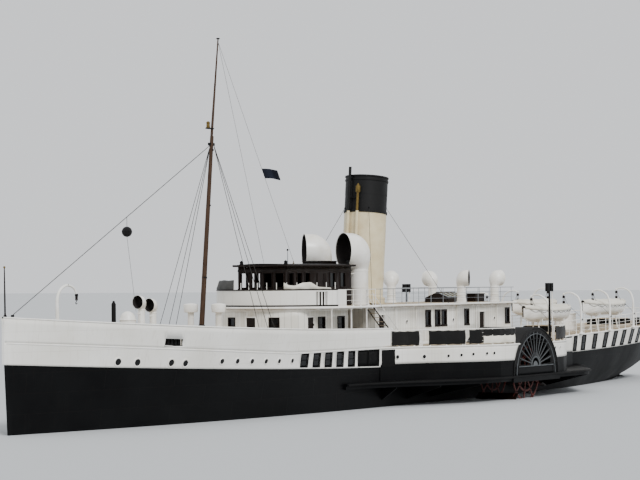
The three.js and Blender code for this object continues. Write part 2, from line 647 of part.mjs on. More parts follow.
function buildWheelhouse() {
  const { aft: back, fore, half, wall, top, sill, head } = wheelhouse;
  const ring = cut(
    prism(rectangle([back, fore], half), [boatDeck + seat, top]),
    prism(rectangle([back + wall, fore - wall], half - wall), [boatDeck - 1, top + 1]),
  );
  const sideWindows = [7.4, 8.6, 11.4, 12.3, 13.2].map((x) =>
    box([x - 0.28, x + 0.28], [-3, 3], [sill, head]),
  );
  const frontWindows = [-1.35, -0.45, 0.45, 1.35].map((y) =>
    box([fore - 1, fore + 1], [y - 0.33, y + 0.33], [sill, head]),
  );
  const doorway = box(wheelhouseDoor.x, [-3, 3], [wheelhouseDoor.low, wheelhouseDoor.high]);
  piece("wheelhouse", paint.darkTeak, cut(ring, sideWindows, frontWindows, doorway));
  const roof = join(
    prism(rectangle([back - 0.15, fore + 0.2], half + 0.18), [top + seat, top + 0.12]),
    box([back + 0.2, fore - 0.3], [-half + 0.2, half - 0.2], [top + 0.1, top + 0.2]),
  );
  piece("wheelhouse_roof", paint.darkTeak, roof);
  const { x, low, high } = wheelhouseDoor;
  const leaf = doorLeaf(x[1] - x[0], high - low);
  bothSides("wheelhouse_door", paint.darkTeak, leaf, { at: [x[0], half, low] });
}

const funnel = { base: 2.4, top: 1.55, height: 15.05, radius: 1.42, plate: 0.08, sides: 20 };

function buildFunnel() {
  const rise = funnel.height - boatDeck;
  const length = Math.hypot(rise, funnel.base - funnel.top);
  const drum = (radius, z0, z1) => turned([[0, z0], [radius, z0], [radius, z1], [0, z1]], funnel.sides);
  const tall = drum(funnel.radius, -1, length);
  const flue = drum(funnel.radius - funnel.plate, -2, length + 1);
  const skirt = drum(funnel.radius + 0.14, -1, 0.5);
  const hoops = [length - 2.45, length - 0.12].map((z) => drum(funnel.radius + 0.04, z, z + 0.1));
  const pipeAt = funnel.radius + 0.14;
  const pipe = (y, top) => rod([pipeAt, y, 0.3], [pipeAt, y, top], 0.1, 8);
  const straps = [1.5, 4.5, 7].map((z) =>
    box([funnel.radius - 0.04, pipeAt], [-0.45, 0.45], [z, z + 0.06]),
  );
  const whole = cut(join(tall, skirt, hoops, pipe(-0.35, length + 0.5), pipe(0.35, 7.4), straps), flue);
  const lean = new THREE.Matrix4().makeRotationY(-Math.atan2(funnel.base - funnel.top, rise));
  const leaning = moved(whole, lean.setPosition(funnel.base, 0, boatDeck));
  piece("funnel", paint.buff, cut(leaning, box([-3, 6], [-4, 4], [boatDeck - 3, boatDeck + seat])));
}

// A cowl ventilator: a trunk whose rings swing about its front edge into a bell that faces +X.
function cowl({ trunk, mouth, head }) {
  const sides = mouth > 1 ? 14 : 9;
  const steps = mouth > 1 ? 6 : 5;
  const wall = 0.05;
  const throat = 0.12 * mouth;
  const neck = head - 2 * mouth - throat;
  const ringAt = ([x, z], [dx, dz], radius) =>
    range(sides, (i) => {
      const a = (i * 2 * Math.PI) / sides;
      return [x - dz * radius * Math.sin(a), radius * Math.cos(a), z + dx * radius * Math.sin(a)];
    });
  const bell = (inset, from, reach) => {
    const rings = range(steps + 1, (i) => {
      const t = i / steps;
      const angle = (Math.PI / 2) * t;
      const radius = trunk + (mouth - trunk) * smooth(t);
      const off = radius + throat * t;
      const centre = [trunk - off * Math.cos(angle), neck + off * Math.sin(angle)];
      return ringAt(centre, [Math.sin(angle), Math.cos(angle)], radius - inset);
    });
    const end = ringAt([trunk + reach, neck + mouth + throat], [1, 0], mouth - inset);
    return loft([...rings.slice(from), end]);
  };
  const pipe = rod([0, 0, 0], [0, 0, neck + 0.01], trunk, sides);
  const flange = rod([0, 0, 0], [0, 0, 0.12], trunk + 0.08, sides);
  return join(cut(bell(0, 0, 0.45 * mouth), bell(wall, 2, mouth)), pipe, flange);
}

// Ventilators: place, trunk and mouth radius, height of the head, and the way the mouth faces from the bow.
const ventilators = [
  { name: "cowl_bridge_port", x: 4.95, y: 1.5, trunk: 0.6, mouth: 1.15, head: 11.2, faces: -30 },
  { name: "cowl_bridge_stbd", x: 4.95, y: -1.5, trunk: 0.6, mouth: 1.15, head: 11.2, faces: -47 },
  { name: "cowl_engine_fore_stbd", x: -5.95, y: -2.88, trunk: 0.3, mouth: 0.55, head: 8.75, faces: -147 },
  { name: "cowl_engine_fore_port", x: -5.95, y: 2.88, trunk: 0.3, mouth: 0.55, head: 8.75, faces: 113 },
  { name: "cowl_engine_aft_stbd", x: -11.15, y: -2.59, trunk: 0.3, mouth: 0.55, head: 8.75, faces: -110 },
  { name: "cowl_engine_aft_port", x: -11.15, y: 2.59, trunk: 0.3, mouth: 0.55, head: 8.75, faces: 160 },
  { name: "cowl_foredeck_fore", x: 25.7, y: 0, trunk: 0.2, mouth: 0.38, head: 7.34, faces: 0 },
  { name: "cowl_foredeck_aft", x: 24.65, y: 0, trunk: 0.2, mouth: 0.38, head: 7.15, faces: 0 },
];

function buildVentilators() {
  for (const { name, x, y, trunk, mouth, head, faces } of ventilators) {
    const foot = x > lounge.front ? restOn(x, trunk + 0.08) : boatDeck + seat;
    const solid = cowl({ trunk, mouth, head: head - foot });
    piece(name, paint.white, solid, { at: [x, y, foot], turn: THREE.MathUtils.degToRad(faces) });
  }
}

// Two round-headed ventilators stand abreast by the mast.
const headedVent = { x: 19.7, y: 1.05, pipe: 0.16, head: 0.42, height: 2.85 };

function buildHeadedVents() {
  const { x, y, pipe, head, height } = headedVent;
  const trunk = [[0, 0], [pipe, 0], [pipe, height - 0.55]];
  const cap = [[head, height - 0.5], [head, height - 0.22], [0.6 * head, height - 0.04], [0, height]];
  const outline = [...trunk, ...cap];
  bothSides("headed_vent", paint.white, turned(outline, 16), { at: [x, y, restOn(x, pipe)] });
}

// The mast, with its shrouds, forestay, ball and signal halyard. It rakes aft, and the hounds are where the
// shrouds and the forestay meet it. Each is a place along the ship and a height.
const mast = { x: 20.15, top: [18.14, 22.86], hounds: [18.83, 16.45], stem: [36.6, 6.3] };
const signalBall = { x: 26.97, z: 11, radius: 0.305 };
const chainPlates = { x: [19.4, 18.4, 17.6], y: 4.22 };

function buildMast() {
  const foot = restOn(mast.x, 0.26);
  const [hx, hz] = mast.hounds;
  const [tx, tz] = mast.top;
  const [sx, sz] = mast.stem;
  const step = rod([mast.x, 0, foot], [mast.x, 0, foot + 0.25], 0.26, 8);
  const lower = rod([mast.x, 0, foot + 0.02], [hx, 0, hz + 0.4], 0.16, 8, 0.11);
  const upper = rod([hx, 0, hz - 0.3], [tx, 0, tz], 0.09, 8, 0.045);
  const hounds = rod([hx + 0.02, 0, hz - 0.15], [hx, 0, hz + 0.1], 0.17, 8);
  const truck = rod([tx, 0, tz - 0.04], [tx, 0, tz + 0.04], 0.09, 6);
  const lampBracket = box([18.75, 19.3], [-0.12, 0.12], [17.3, 17.4]);
  const spars = join(step, lower, upper, hounds, truck, lampBracket);

  const shrouds = chainPlates.x.flatMap((x) =>
    [1, -1].map((sign) => {
      const chain = [x, sign * chainPlates.y, restOn(x, 0.05) + 0.03];
      return rod(chain, [hx, 0, hz], 0.022, 4);
    }),
  );
  const forestay = rod([sx, 0, sz + 0.02], [hx, 0, hz], 0.024, 4);
  const shackle = box([sx - 0.08, sx + 0.08], [-0.05, 0.05], [sz, sz + 0.1]);
  const stayZ = hz + ((sz - hz) / (sx - hx)) * (signalBall.x - hx);
  const ballCentre = [signalBall.x, 0, signalBall.z];
  const hanger = rod(ballCentre, [signalBall.x, 0, stayZ], 0.02, 4);
  const stays = join(shrouds, forestay, shackle, ball(ballCentre, signalBall.radius, 10), hanger);

  const halyard = rod([tx, 0, tz - 0.15], halyardFoot, 0.012, 4);
  const eyeFoot = [halyardFoot[0], halyardFoot[1], wheelhouse.top + 0.2 + seat];
  piece("mast", paint.white, join(spars, stays, halyard, rod(halyardFoot, eyeFoot, 0.04, 8)));
}

const halyardFoot = [11.6, 0.9, wheelhouse.top + 0.35];

// The flag flies from the halyard, between two heights, downwind along the direction called away.
const flag = { low: 14.5, high: 15.1, reach: 1.02, half: 0.012, away: [-0.56, 0.83] };

function buildFlag() {
  const [fx, fy, fz] = halyardFoot;
  const [ax, ay] = flag.away;
  const halyardAt = (z) => {
    const t = (z - fz) / (mast.top[1] - 0.15 - fz);
    return [fx + (mast.top[0] - fx) * t, fy * (1 - t)];
  };
  const near = 0.0005 + seat + flag.half;
  const corners = [[near, 1], [flag.reach, 1], [flag.reach, -1], [near, -1]];
  const ring = (z) => {
    const [x, y] = halyardAt(z);
    return corners.map(([reach, sign]) => {
      const across = sign * flag.half;
      return [x + ax * reach + ay * across, y + ay * reach - ax * across, z];
    });
  };
  piece("flag", paint.flag, loft([ring(flag.low), ring(flag.high)]));
}

// Foredeck gear: the anchor's davit, which curves aft over the deck, the windlass and a domed companion.
const anchorDavit = { x: 33.0, radius: 0.08, heel: 0.12, reach: 1.6, hookTop: 2.7, hookFoot: 2.35 };
const windlass = { x: 32.1, half: 0.5, rise: 0.6, cheek: 0.42, barrel: 0.22 };

function buildForedeck() {
  const { x, radius, heel, reach, hookTop, hookFoot } = anchorDavit;
  const bend = [[-0.25, 0, 3.0], [-0.8, 0, 3.25], [-1.35, 0, 3.1], [-reach, 0, 2.75]];
  const arm = tube([[0, 0, 0.1], [0, 0, 1.6], [0, 0, 2.5], ...bend], radius, 8, 10);
  const collar = rod([0, 0, 0], [0, 0, 0.5], heel, 10);
  const hook = join(
    ball([-reach, 0, hookTop + 0.02], 0.12, 8),
    rod([-reach, 0, hookTop], [-reach, 0, hookFoot], 0.03, 6),
    ball([-reach, 0, hookFoot], 0.07, 6),
  );
  piece("anchor_davit", paint.white, join(arm, collar, hook), { at: [x, 0, restOn(x, heel)] });
  buildWindlass();

  const dome = turned([[0, 0], [0.46, 0], [0.46, 1.55], [0.4, 1.8], [0.22, 2.0], [0, 2.06]], 20);
  piece("companion_fore", paint.white, dome, { at: [26.95, 0, deckTop(27.4) + seat] });
}

function buildWindlass() {
  const { half, rise, cheek, barrel } = windlass;
  const fore = windlass.x + half;
  const axis = deckTop(windlass.x) + rise;
  const base = box([windlass.x - half, fore], [-1.1, 1.1], [restOn(windlass.x, half), deckTop(fore) + 0.2]);
  const cheeks = [-0.95, 0.95].map((y) =>
    profile(circle(windlass.x, axis, cheek, 12), [y - 0.06, y + 0.06]),
  );
  const shaft = profile(circle(windlass.x, axis, barrel, 10), [-1.35, 1.35]);
  const posts = [-0.65, 0.65].map((y) =>
    box([windlass.x - 0.15, windlass.x + 0.15], [y - 0.1, y + 0.1], [deckTop(fore) + 0.1, axis + 0.15]),
  );
  piece("windlass", paint.black, join(base, cheeks, shaft, posts));
}

// The deck's after companion, with a round front and a doorway in its after end.
const companionAft = { x: -24.3, y: 1.2, half: 0.64, length: 0.9, wall: 0.07, top: 5.45 };

function buildAfterDeck() {
  const { x, y, half, length, wall, top } = companionAft;
  const outline = (inset) => [
    [x - length, y - half + inset],
    ...circle(x, y, half - inset, 12, -Math.PI / 2, Math.PI / 2),
    [x - length, y + half - inset],
  ];
  const low = restOn(x - (length - half) / 2, (length + half) / 2);
  const outside = prism(outline(0), [low, top]);
  const inside = prism(outline(wall), [low - 1, top - wall]);
  const across = [y - half + 2 * wall, y + half - 2 * wall];
  const doorway = box([x - length - 1, x - length + 0.1], across, [low + 0.15, top - 0.15]);
  piece("companion_aft", paint.white, cut(outside, inside, doorway));

  const ends = [[-0.95, 0], [0.95, 0], [0.95, 0.35], [0, 0.72], [-0.95, 0.35]];
  const skylight = profileAcross(ends.map(([y, z]) => [y, boatDeck + seat + z]), [-9.9, -7.4]);
  piece("skylight", paint.darkTeak, skylight);
}

// Lifeboats on chocks and the davits that lift them. Each boat lies inboard of its two davits.
const lifeboat = { length: 7.3, half: 1.0, depth: 0.8, chock: 1.15 };
const davit = { radius: 0.07, reach: 1.45, height: 3.1, heel: 0.5, outboard: 0.17 };
const boats = [
  { name: "fore", x: -17.9, y: 3.2, davits: 2.55 },
  { name: "aft", x: -27.6, y: 3.05, davits: 2.3 },
];
const davitAt = boats.flatMap(({ name, x, davits }) =>
  [["a", davits], ["b", -davits]].map(([letter, along]) => ({
    name: name + "_" + letter,
    x: x + along,
    y: deckHalf(x + along) + davit.outboard,
    onDeck: x + along > sponson.house.aft,
  })),
);

function buildLifeboats() {
  const { length, half, depth } = lifeboat;
  const stations = [-1, -0.93, -0.7, -0.35, 0.35, 0.7, 0.93, 1].map((t) => {
    const beam = half * Math.max(0.05, (1 - Math.abs(t) ** 2.6));
    const sheer = 0.22 * t * t;
    const rise = 1.8 * Math.max(0, Math.abs(t) - 0.7) ** 1.5;
    const cover = 0.34 * Math.sqrt(Math.max(0.02, 1 - t * t));
    return [
      [t * length / 2, Math.min(0.04, beam), rise],
      [t * length / 2, beam * 0.55, rise + 0.1 * depth],
      [t * length / 2, beam * 0.9, rise + 0.4 * (depth - rise)],
      [t * length / 2, beam, depth + sheer],
      [t * length / 2, beam * 0.5, depth + sheer + cover * 0.7],
      [t * length / 2, 0.03, depth + sheer + cover],
    ];
  });
  const solid = hullLoft(stations);
  for (const boat of boats) {
    const keel = deckTop(boat.x) + lifeboat.chock;
    const whole = join(solid, chocks(boat, keel));
    bothSides("lifeboat_" + boat.name, paint.white, whole, { at: [boat.x, boat.y, keel] });
  }
}

// Two chocks under each boat, in the boat's own frame: a cradle across the keel on a post that stands on
// the deck.
function chocks(boat, keel) {
  return [-1.7, 1.7].flatMap((along) => {
    const foot = restOn(boat.x + along, 0.06) - keel;
    return [
      box([along - 0.06, along + 0.06], [-0.09, 0.09], [foot, 0.02]),
      box([along - 0.06, along + 0.06], [-0.28, 0.28], [-0.12, 0.03]),
    ];
  });
}

function davitSolid(foot) {
  const { radius, reach, height } = davit;
  const post = rod([0, 0, foot], [0, 0, height * 0.62], radius, 8);
  // The bend, in shares of the reach and of the height.
  const bend = [[0, 0.6], [0.03, 0.78], [0.25, 0.94], [0.6, 1], [1, 0.97]];
  const arm = tube(bend.map(([out, up]) => [0, -reach * out, height * up]), radius, 6, 7);
  const block = join(
    rod([0, -reach, height * 0.985], [0, -reach, height * 0.9], 0.05, 6),
    box([-0.05, 0.05], [-reach - 0.09, -reach + 0.09], [height * 0.82, height * 0.91]),
  );
  return join(post, arm, ball([0, -reach, height * 0.97], 0.1, 6), block);
}

function buildDavits() {
  const foot = rod([0, 0, 0], [0, 0, 0.08], 0.2, 12);
  const standing = join(davitSolid(0), foot);
  const inSocket = davitSolid(-davit.heel);
  for (const { name, x, y, onDeck } of davitAt) {
    const solid = onDeck ? standing : inSocket;
    bothSides("davit_" + name, paint.white, solid, { at: [x, y, onDeck ? restOn(x, 0.2) : deckTop(x)] });
  }
}

// A davit's heel stands in a socket on the ship's side, or on its own foot on the sponson's deck.
const heelBore = ({ x, y }, low, high) => rod([x, y, low], [x, y, high], davit.radius + running, 20);

function davitSockets() {
  return davitAt.filter(({ onDeck }) => !onDeck).map((at) => {
    const low = deckTop(at.x) - davit.heel;
    const high = deckTop(at.x) - deckThick - 0.01;
    const body = box([at.x - 0.14, at.x + 0.14], [at.y - 0.6, at.y + 0.16], [low - 0.12, high]);
    return { body, bore: heelBore(at, low - seat, high + 1) };
  });
}

// Rails: square posts and a top bar that follow a line of points in plan.
const rail = { post: 0.03, bar: 0.035, height: 1.05 };

// A square bar through points, mitred at its corners.
function squareBar(points, half) {
  const direction = (a, b) => {
    const length = Math.hypot(b[0] - a[0], b[1] - a[1]);
    return [(b[0] - a[0]) / length, (b[1] - a[1]) / length];
  };
  return loft(
    points.map((point, i) => {
      const before = direction(points[Math.max(0, i - 1)], points[Math.max(1, i)]);
      const last = points.length - 1;
      const after = direction(points[Math.min(last - 1, i)], points[Math.min(last, i + 1)]);
      const sum = [before[0] + after[0], before[1] + after[1]];
      const scale = (2 * half) / (sum[0] ** 2 + sum[1] ** 2);
      const across = [-sum[1] * scale, sum[0] * scale];
      const [x, y, z] = point;
      const corners = [[1, -1], [1, 1], [-1, 1], [-1, -1]];
      return corners.map(([out, up]) => [x + across[0] * out, y + across[1] * out, z + half * up]);
    }),
  );
}

function railing(points) {
  const { post, bar, height } = rail;
  const posts = points.map(([x, y, z]) =>
    box([x - post, x + post], [y - post, y + post], [z, z + height - bar]),
  );
  const top = squareBar(points.map(([x, y, z]) => [x, y, z + height - bar]), bar);
  return join(posts, top);
}

function buildRails() {
  const inset = 0.13;
  const edge = (x) => (x > sponson.house.aft ? sponsonHalf(sponson.house, x) : deckHalf(x)) - inset;
  const at = (x) => [x, edge(x), restOn(x, rail.post)];
  bothSides("rail_fore", paint.white, railing([5.2, 3.5, 1.8, 0.1, -1.5, -3.1].map(at)));
  const backOn = (points) => points.map(([x, y, z]) => [x, -y, z]).reverse();
  const port = [-8.7, -11.4, -14.1, -16.7, -19.4, -22.9, -26.4, -29.9, -33.2, -35.8, -37.8, -39].map(at);
  const middle = [-39.7, 0, restOn(-39.7, rail.post)];
  piece("rail_aft", paint.white, railing([...port, middle, ...backOn(port)]));
  const out = house.half + 0.22;
  const along = [7.3, 4.5, 1.7, -1.1, -3.9, -6.7, -9.5, -12.1].map((x) => [x, out, boatDeck + seat]);
  piece("rail_boat_deck", paint.white, railing([...along, ...backOn(along)]));
}

buildHull();
buildPromenadeDeck();
buildBulwark();
buildSponsons();
buildPaddleBoxes();
buildPaddles();
buildRudder();
buildLounge();
buildHouse();
buildBoatDeck();
buildBridgeScreen();
buildWheelhouse();
buildFunnel();
buildVentilators();
buildHeadedVents();
buildMast();
buildFlag();
buildForedeck();
buildAfterDeck();
buildLifeboats();
buildDavits();
buildRails();

export default ship;
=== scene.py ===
import json
import math

import bmesh
import bpy
import numpy as np
from mathutils import Matrix

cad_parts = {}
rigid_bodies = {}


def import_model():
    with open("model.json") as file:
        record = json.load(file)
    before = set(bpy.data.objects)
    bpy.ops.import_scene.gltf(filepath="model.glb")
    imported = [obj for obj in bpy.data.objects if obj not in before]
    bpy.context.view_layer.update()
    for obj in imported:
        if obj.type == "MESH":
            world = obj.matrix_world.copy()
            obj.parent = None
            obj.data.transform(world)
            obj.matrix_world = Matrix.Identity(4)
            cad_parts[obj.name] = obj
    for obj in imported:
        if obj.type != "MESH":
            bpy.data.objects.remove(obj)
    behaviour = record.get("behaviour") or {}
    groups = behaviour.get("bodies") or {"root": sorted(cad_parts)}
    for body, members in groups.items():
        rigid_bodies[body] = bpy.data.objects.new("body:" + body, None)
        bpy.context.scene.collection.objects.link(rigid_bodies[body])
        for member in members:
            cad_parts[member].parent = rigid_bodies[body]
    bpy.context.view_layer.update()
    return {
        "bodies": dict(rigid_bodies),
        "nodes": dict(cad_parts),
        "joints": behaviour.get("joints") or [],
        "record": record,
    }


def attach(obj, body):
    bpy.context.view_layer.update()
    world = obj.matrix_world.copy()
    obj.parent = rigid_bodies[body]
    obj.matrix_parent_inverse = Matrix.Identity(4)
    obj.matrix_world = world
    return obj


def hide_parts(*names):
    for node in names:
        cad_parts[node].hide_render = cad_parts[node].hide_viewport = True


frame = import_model()

shipScale = 0.5  # the model is half the ship: every length below is in metres of the full-size ship
tau = 2 * math.pi
upright = np.array([0, 0, 1.0])


def unit(vectors):
    return vectors / np.maximum(np.linalg.norm(vectors, axis=-1, keepdims=True), 1e-12)


def addObject(name, data):
    # A new object of a mesh, a camera or a light, linked to the scene.
    item = bpy.data.objects.new(name, data)
    bpy.context.scene.collection.objects.link(item)
    return item


# The photograph's camera, solved from points of the ship.
photoView = {"place": (119.67, 76.16, 8.075), "yaw": -2.5461, "pitch": 0.0197, "roll": -0.009, "lens": 117.36}


def setCamera(view):
    # The sight line from yaw and pitch, then right and up turned about it by the roll.
    yaw, pitch, roll = view["yaw"], view["pitch"], view["roll"]
    sight = np.array([math.cos(yaw) * math.cos(pitch), math.sin(yaw) * math.cos(pitch), math.sin(pitch)])
    level = unit(np.cross(sight, upright))
    top = np.cross(level, sight)
    matrix = np.eye(4)
    matrix[:3, 0] = math.cos(roll) * level + math.sin(roll) * top
    matrix[:3, 1] = math.cos(roll) * top - math.sin(roll) * level
    matrix[:3, 2] = -sight
    matrix[:3, 3] = np.array(view["place"]) * shipScale
    data = bpy.data.cameras.new("camera")
    data.lens, data.clip_end = view["lens"], 2000
    camera = addObject("camera", data)
    camera.matrix_world = Matrix(matrix.tolist())
    bpy.context.scene.camera = camera


def linear(hexColour):
    # Each sRGB byte turned to linear light.
    parts = np.array([int(hexColour[i : i + 2], 16) for i in (1, 3, 5)]) / 255
    light = np.where(parts <= 0.04045, parts / 12.92, ((parts + 0.055) / 1.055) ** 2.4)
    return (*light.tolist(), 1.0)


def addNode(tree, kind, inputs=None, **settings):
    # A new node, with its settings, and its inputs set to a value or linked to a socket.
    node = tree.nodes.new(kind)
    for name, value in settings.items():
        setattr(node, name, value)
    for name, value in (inputs or {}).items():
        if isinstance(value, bpy.types.NodeSocket):
            tree.links.new(value, node.inputs[name])
        else:
            node.inputs[name].default_value = value
    return node


def makeMaterial(name, pattern=None, **look):
    # One shader with the look's plain numbers; the pattern's function gives the sockets that drive the rest.
    material = bpy.data.materials.new(name)
    material.use_nodes = True
    tree = material.node_tree
    shader = tree.nodes["Principled BSDF"]
    shade = linear(look["shade"])
    numbers = {
        "Base Color": shade, "Roughness": look["roughness"], "Specular IOR Level": look.get("gloss", 0.5),
        "Metallic": look.get("metallic", 0.0), "Coat Weight": look.get("coat", 0.0),
        "Coat Roughness": look.get("coatRoughness", 0.03), "Sheen Weight": look.get("sheen", 0.0),
    }
    for socket, value in numbers.items():
        shader.inputs[socket].default_value = value
    material.diffuse_color = shade
    if pattern:
        place = addNode(tree, "ShaderNodeTexCoord").outputs["Object"]
        for socket, value in pattern(tree, place, look).items():
            tree.links.new(value, shader.inputs[socket])
    return material


def setStage():
    look = {"half": 600, "floor": "#b9bcbe", "sky": "#eceef1", "skyLight": 1.15, "sun": 2.6, "spread": 18,
            "turn": (48, 0, 148)}
    data = bpy.data.meshes.new("floor")
    half = look["half"]
    data.from_pydata(
        [(-half, -half, 0), (half, -half, 0), (half, half, 0), (-half, half, 0)], [], [(0, 1, 2, 3)]
    )
    data.materials.append(makeMaterial("paleStudioFloor", shade=look["floor"], roughness=0.9))
    addObject("floor", data)
    world = bpy.data.worlds.new("world")
    bpy.context.scene.world = world
    world.use_nodes = True
    background = world.node_tree.nodes["Background"]
    background.inputs["Color"].default_value = linear(look["sky"])
    background.inputs["Strength"].default_value = look["skyLight"]
    sun = bpy.data.lights.new("softSun", "SUN")
    sun.energy, sun.angle = look["sun"], math.radians(look["spread"])
    addObject("softSun", sun).rotation_euler = [math.radians(angle) for angle in look["turn"]]


setCamera(photoView)
setStage()
print("stage: camera, floor and light")


# Materials: each pattern's lengths are in metres of the model.
def weathered(tree, place, first, second, scale, detail, low, high, share=1.0, distortion=0.0):
    # Two shades mixed by a noise: the first alone below low, up to the given share of the second above high.
    noise = addNode(
        tree, "ShaderNodeTexNoise",
        {"Vector": place, "Scale": scale, "Detail": detail, "Distortion": distortion},
    ).outputs[0]
    amount = addNode(tree, "ShaderNodeMapRange", {0: noise, 1: low, 2: high, 4: share}).outputs[0]
    return noise, addNode(
        tree, "ShaderNodeMix", {0: amount, 6: first, 7: second}, data_type="RGBA"
    ).outputs[2]


def paintedSteel(tree, place, look):
    # Brushed enamel over plates 4.8 by 1.1 m on the ship: broad fading, thin runs down them, laps in relief.
    split = addNode(tree, "ShaderNodeSeparateXYZ", {0: place})
    flat = addNode(tree, "ShaderNodeCombineXYZ", {"X": split.outputs["X"], "Y": split.outputs["Z"]})
    broad, shade = weathered(
        tree, place, linear(look["shade"]), linear(look["second"]), look["fading"], 5, 0.35, 0.7
    )
    stretch = addNode(tree, "ShaderNodeMapping", {"Vector": place, "Scale": (9, 9, 0.35)}).outputs[0]
    stained = weathered(tree, stretch, shade, linear(look["stain"]), 1.6, 6, 0.56, 0.85, look["runs"])[1]
    plates = addNode(
        tree, "ShaderNodeTexBrick",
        {"Vector": flat.outputs[0], "Scale": 1.0, "Brick Width": 2.4, "Row Height": 0.55,
         "Mortar Size": 0.008, "Mortar Smooth": 0.6},
    ).outputs["Fac"]
    lap = addNode(tree, "ShaderNodeMapRange", {0: plates, 4: look["laps"]}).outputs[0]
    laps = addNode(tree, "ShaderNodeMix", {0: lap, 6: stained, 7: linear(look["stain"])}, data_type="RGBA")
    low, high = look["roughness"] - 0.08, look["roughness"] + 0.12
    rough = addNode(tree, "ShaderNodeMapRange", {0: broad, 1: 0.3, 2: 0.75, 3: low, 4: high})
    relief = addNode(
        tree, "ShaderNodeBump", {"Height": plates, "Strength": 0.35, "Distance": 0.01}, invert=True
    )
    dents = addNode(
        tree, "ShaderNodeBump",
        {"Height": broad, "Strength": look["dents"], "Distance": 0.05, "Normal": relief.outputs[0]},
    )
    return {"Base Color": laps.outputs[2], "Roughness": rough.outputs[0], "Normal": dents.outputs[0]}


def brushedEnamel(tree, place, look):
    # Brushed gloss paint on small ironwork and joinery: slight yellowing and grime in broad patches.
    patch, shade = weathered(tree, place, linear(look["shade"]), linear(look["second"]), 3.0, 6, 0.4, 0.75)
    low, high = look["roughness"], look["roughness"] + 0.2
    rough = addNode(tree, "ShaderNodeMapRange", {0: patch, 1: 0.3, 2: 0.8, 3: low, 4: high})
    brush = addNode(tree, "ShaderNodeTexNoise", {"Vector": place, "Scale": 40.0, "Detail": 3.0})
    relief = addNode(
        tree, "ShaderNodeBump", {"Height": brush.outputs[0], "Strength": 0.12, "Distance": 0.004}
    )
    return {"Base Color": shade, "Roughness": rough.outputs[0], "Normal": relief.outputs[0]}


def matchboard(tree, place, look):
    # Painted tongue-and-groove boards: an upright V joint every 300 mm of the ship, where the real boards
    # have one every 150 mm, so that they show. They step along X + Y, to stand upright on any straight wall.
    split = addNode(tree, "ShaderNodeSeparateXYZ", {0: place})
    straight, across = split.outputs["X"], split.outputs["Y"]
    if "bend" in look:
        # Past the bend, where the front is round, they follow the angle about its centre.
        straight = addNode(
            tree, "ShaderNodeMath", {0: straight, 1: look["bend"]}, operation="MINIMUM"
        ).outputs[0]
        past = addNode(tree, "ShaderNodeMath", {0: split.outputs["X"], 1: straight}, operation="SUBTRACT")
        angle = addNode(tree, "ShaderNodeMath", {0: across, 1: past.outputs[0]}, operation="ARCTAN2")
        across = addNode(
            tree, "ShaderNodeMath", {0: angle.outputs[0], 1: 1.2}, operation="MULTIPLY"
        ).outputs[0]
    along = addNode(tree, "ShaderNodeMath", {0: straight, 1: across}, operation="ADD")
    flat = addNode(tree, "ShaderNodeCombineXYZ", {"X": along.outputs[0], "Y": split.outputs["Z"]})
    first, second = linear(look["shade"]), linear(look["second"])
    boards = addNode(
        tree, "ShaderNodeTexBrick",
        {"Vector": flat.outputs[0], "Color1": first, "Color2": second, "Mortar": linear(look["joint"]),
         "Scale": 1.0, "Brick Width": look["board"], "Row Height": 4.0, "Mortar Size": 0.004,
         "Mortar Smooth": 0.5},
        offset=0.0,
    )
    shade = weathered(tree, place, boards.outputs["Color"], second, 1.4, 6, 0.5, 0.85, 0.5)[1]
    relief = addNode(
        tree, "ShaderNodeBump", {"Height": boards.outputs["Fac"], "Strength": 0.4, "Distance": 0.006},
        invert=True,
    )
    return {"Base Color": shade, "Normal": relief.outputs[0]}


def laidDeck(tree, place, look):
    # Scrubbed teak planks 130 mm wide and 6 m long on the ship, black caulking between, grain along them.
    planks = addNode(
        tree, "ShaderNodeTexBrick",
        {"Vector": place, "Color1": linear(look["shade"]), "Color2": linear(look["second"]),
         "Mortar": linear(look["caulking"]), "Scale": 1.0, "Brick Width": 3.0, "Row Height": 0.065,
         "Mortar Size": 0.0035, "Mortar Smooth": 0.2, "Bias": 0.1},
    )
    stretch = addNode(tree, "ShaderNodeMapping", {"Vector": place, "Scale": (1.5, 45, 45)}).outputs[0]
    shade = weathered(tree, stretch, planks.outputs["Color"], linear(look["grey"]), 1.5, 8, 0.4, 0.75, 0.6)[1]
    relief = addNode(
        tree, "ShaderNodeBump", {"Height": planks.outputs["Fac"], "Strength": 0.5, "Distance": 0.004},
        invert=True,
    )
    return {"Base Color": shade, "Normal": relief.outputs[0]}


def varnished(tree, place, look):
    # Dark wood under yacht varnish: upright grain under a clear coat.
    stretch = addNode(tree, "ShaderNodeMapping", {"Vector": place, "Scale": (30, 30, 1.2)}).outputs[0]
    first, second = linear(look["shade"]), linear(look["second"])
    grain, shade = weathered(tree, stretch, first, second, 1.2, 9, 0.35, 0.7, distortion=0.4)
    relief = addNode(tree, "ShaderNodeBump", {"Height": grain, "Strength": 0.15, "Distance": 0.002})
    return {"Base Color": shade, "Normal": relief.outputs[0]}


def flaxWeave(tree, place, look):
    # Proofed flax canvas: a plain weave, at 12 mm a thread where the real one has 1 mm, so that it shows.
    threads = [
        addNode(
            tree, "ShaderNodeTexWave", {"Vector": place, "Scale": 26.0, "Distortion": 0.4},
            bands_direction=way,
        )
        for way in ("X", "Z")
    ]
    crossed = {i: thread.outputs["Fac"] for i, thread in enumerate(threads)}
    weave = addNode(tree, "ShaderNodeMath", crossed, operation="MULTIPLY")
    damp, shade = weathered(tree, place, linear(look["shade"]), linear(look["second"]), 1.8, 6, 0.4, 0.75)
    creases = addNode(tree, "ShaderNodeBump", {"Height": damp, "Strength": 0.5, "Distance": 0.06}).outputs[0]
    relief = addNode(
        tree, "ShaderNodeBump",
        {"Height": weave.outputs[0], "Strength": 0.25, "Distance": 0.004, "Normal": creases},
    )
    return {"Base Color": shade, "Normal": relief.outputs[0]}


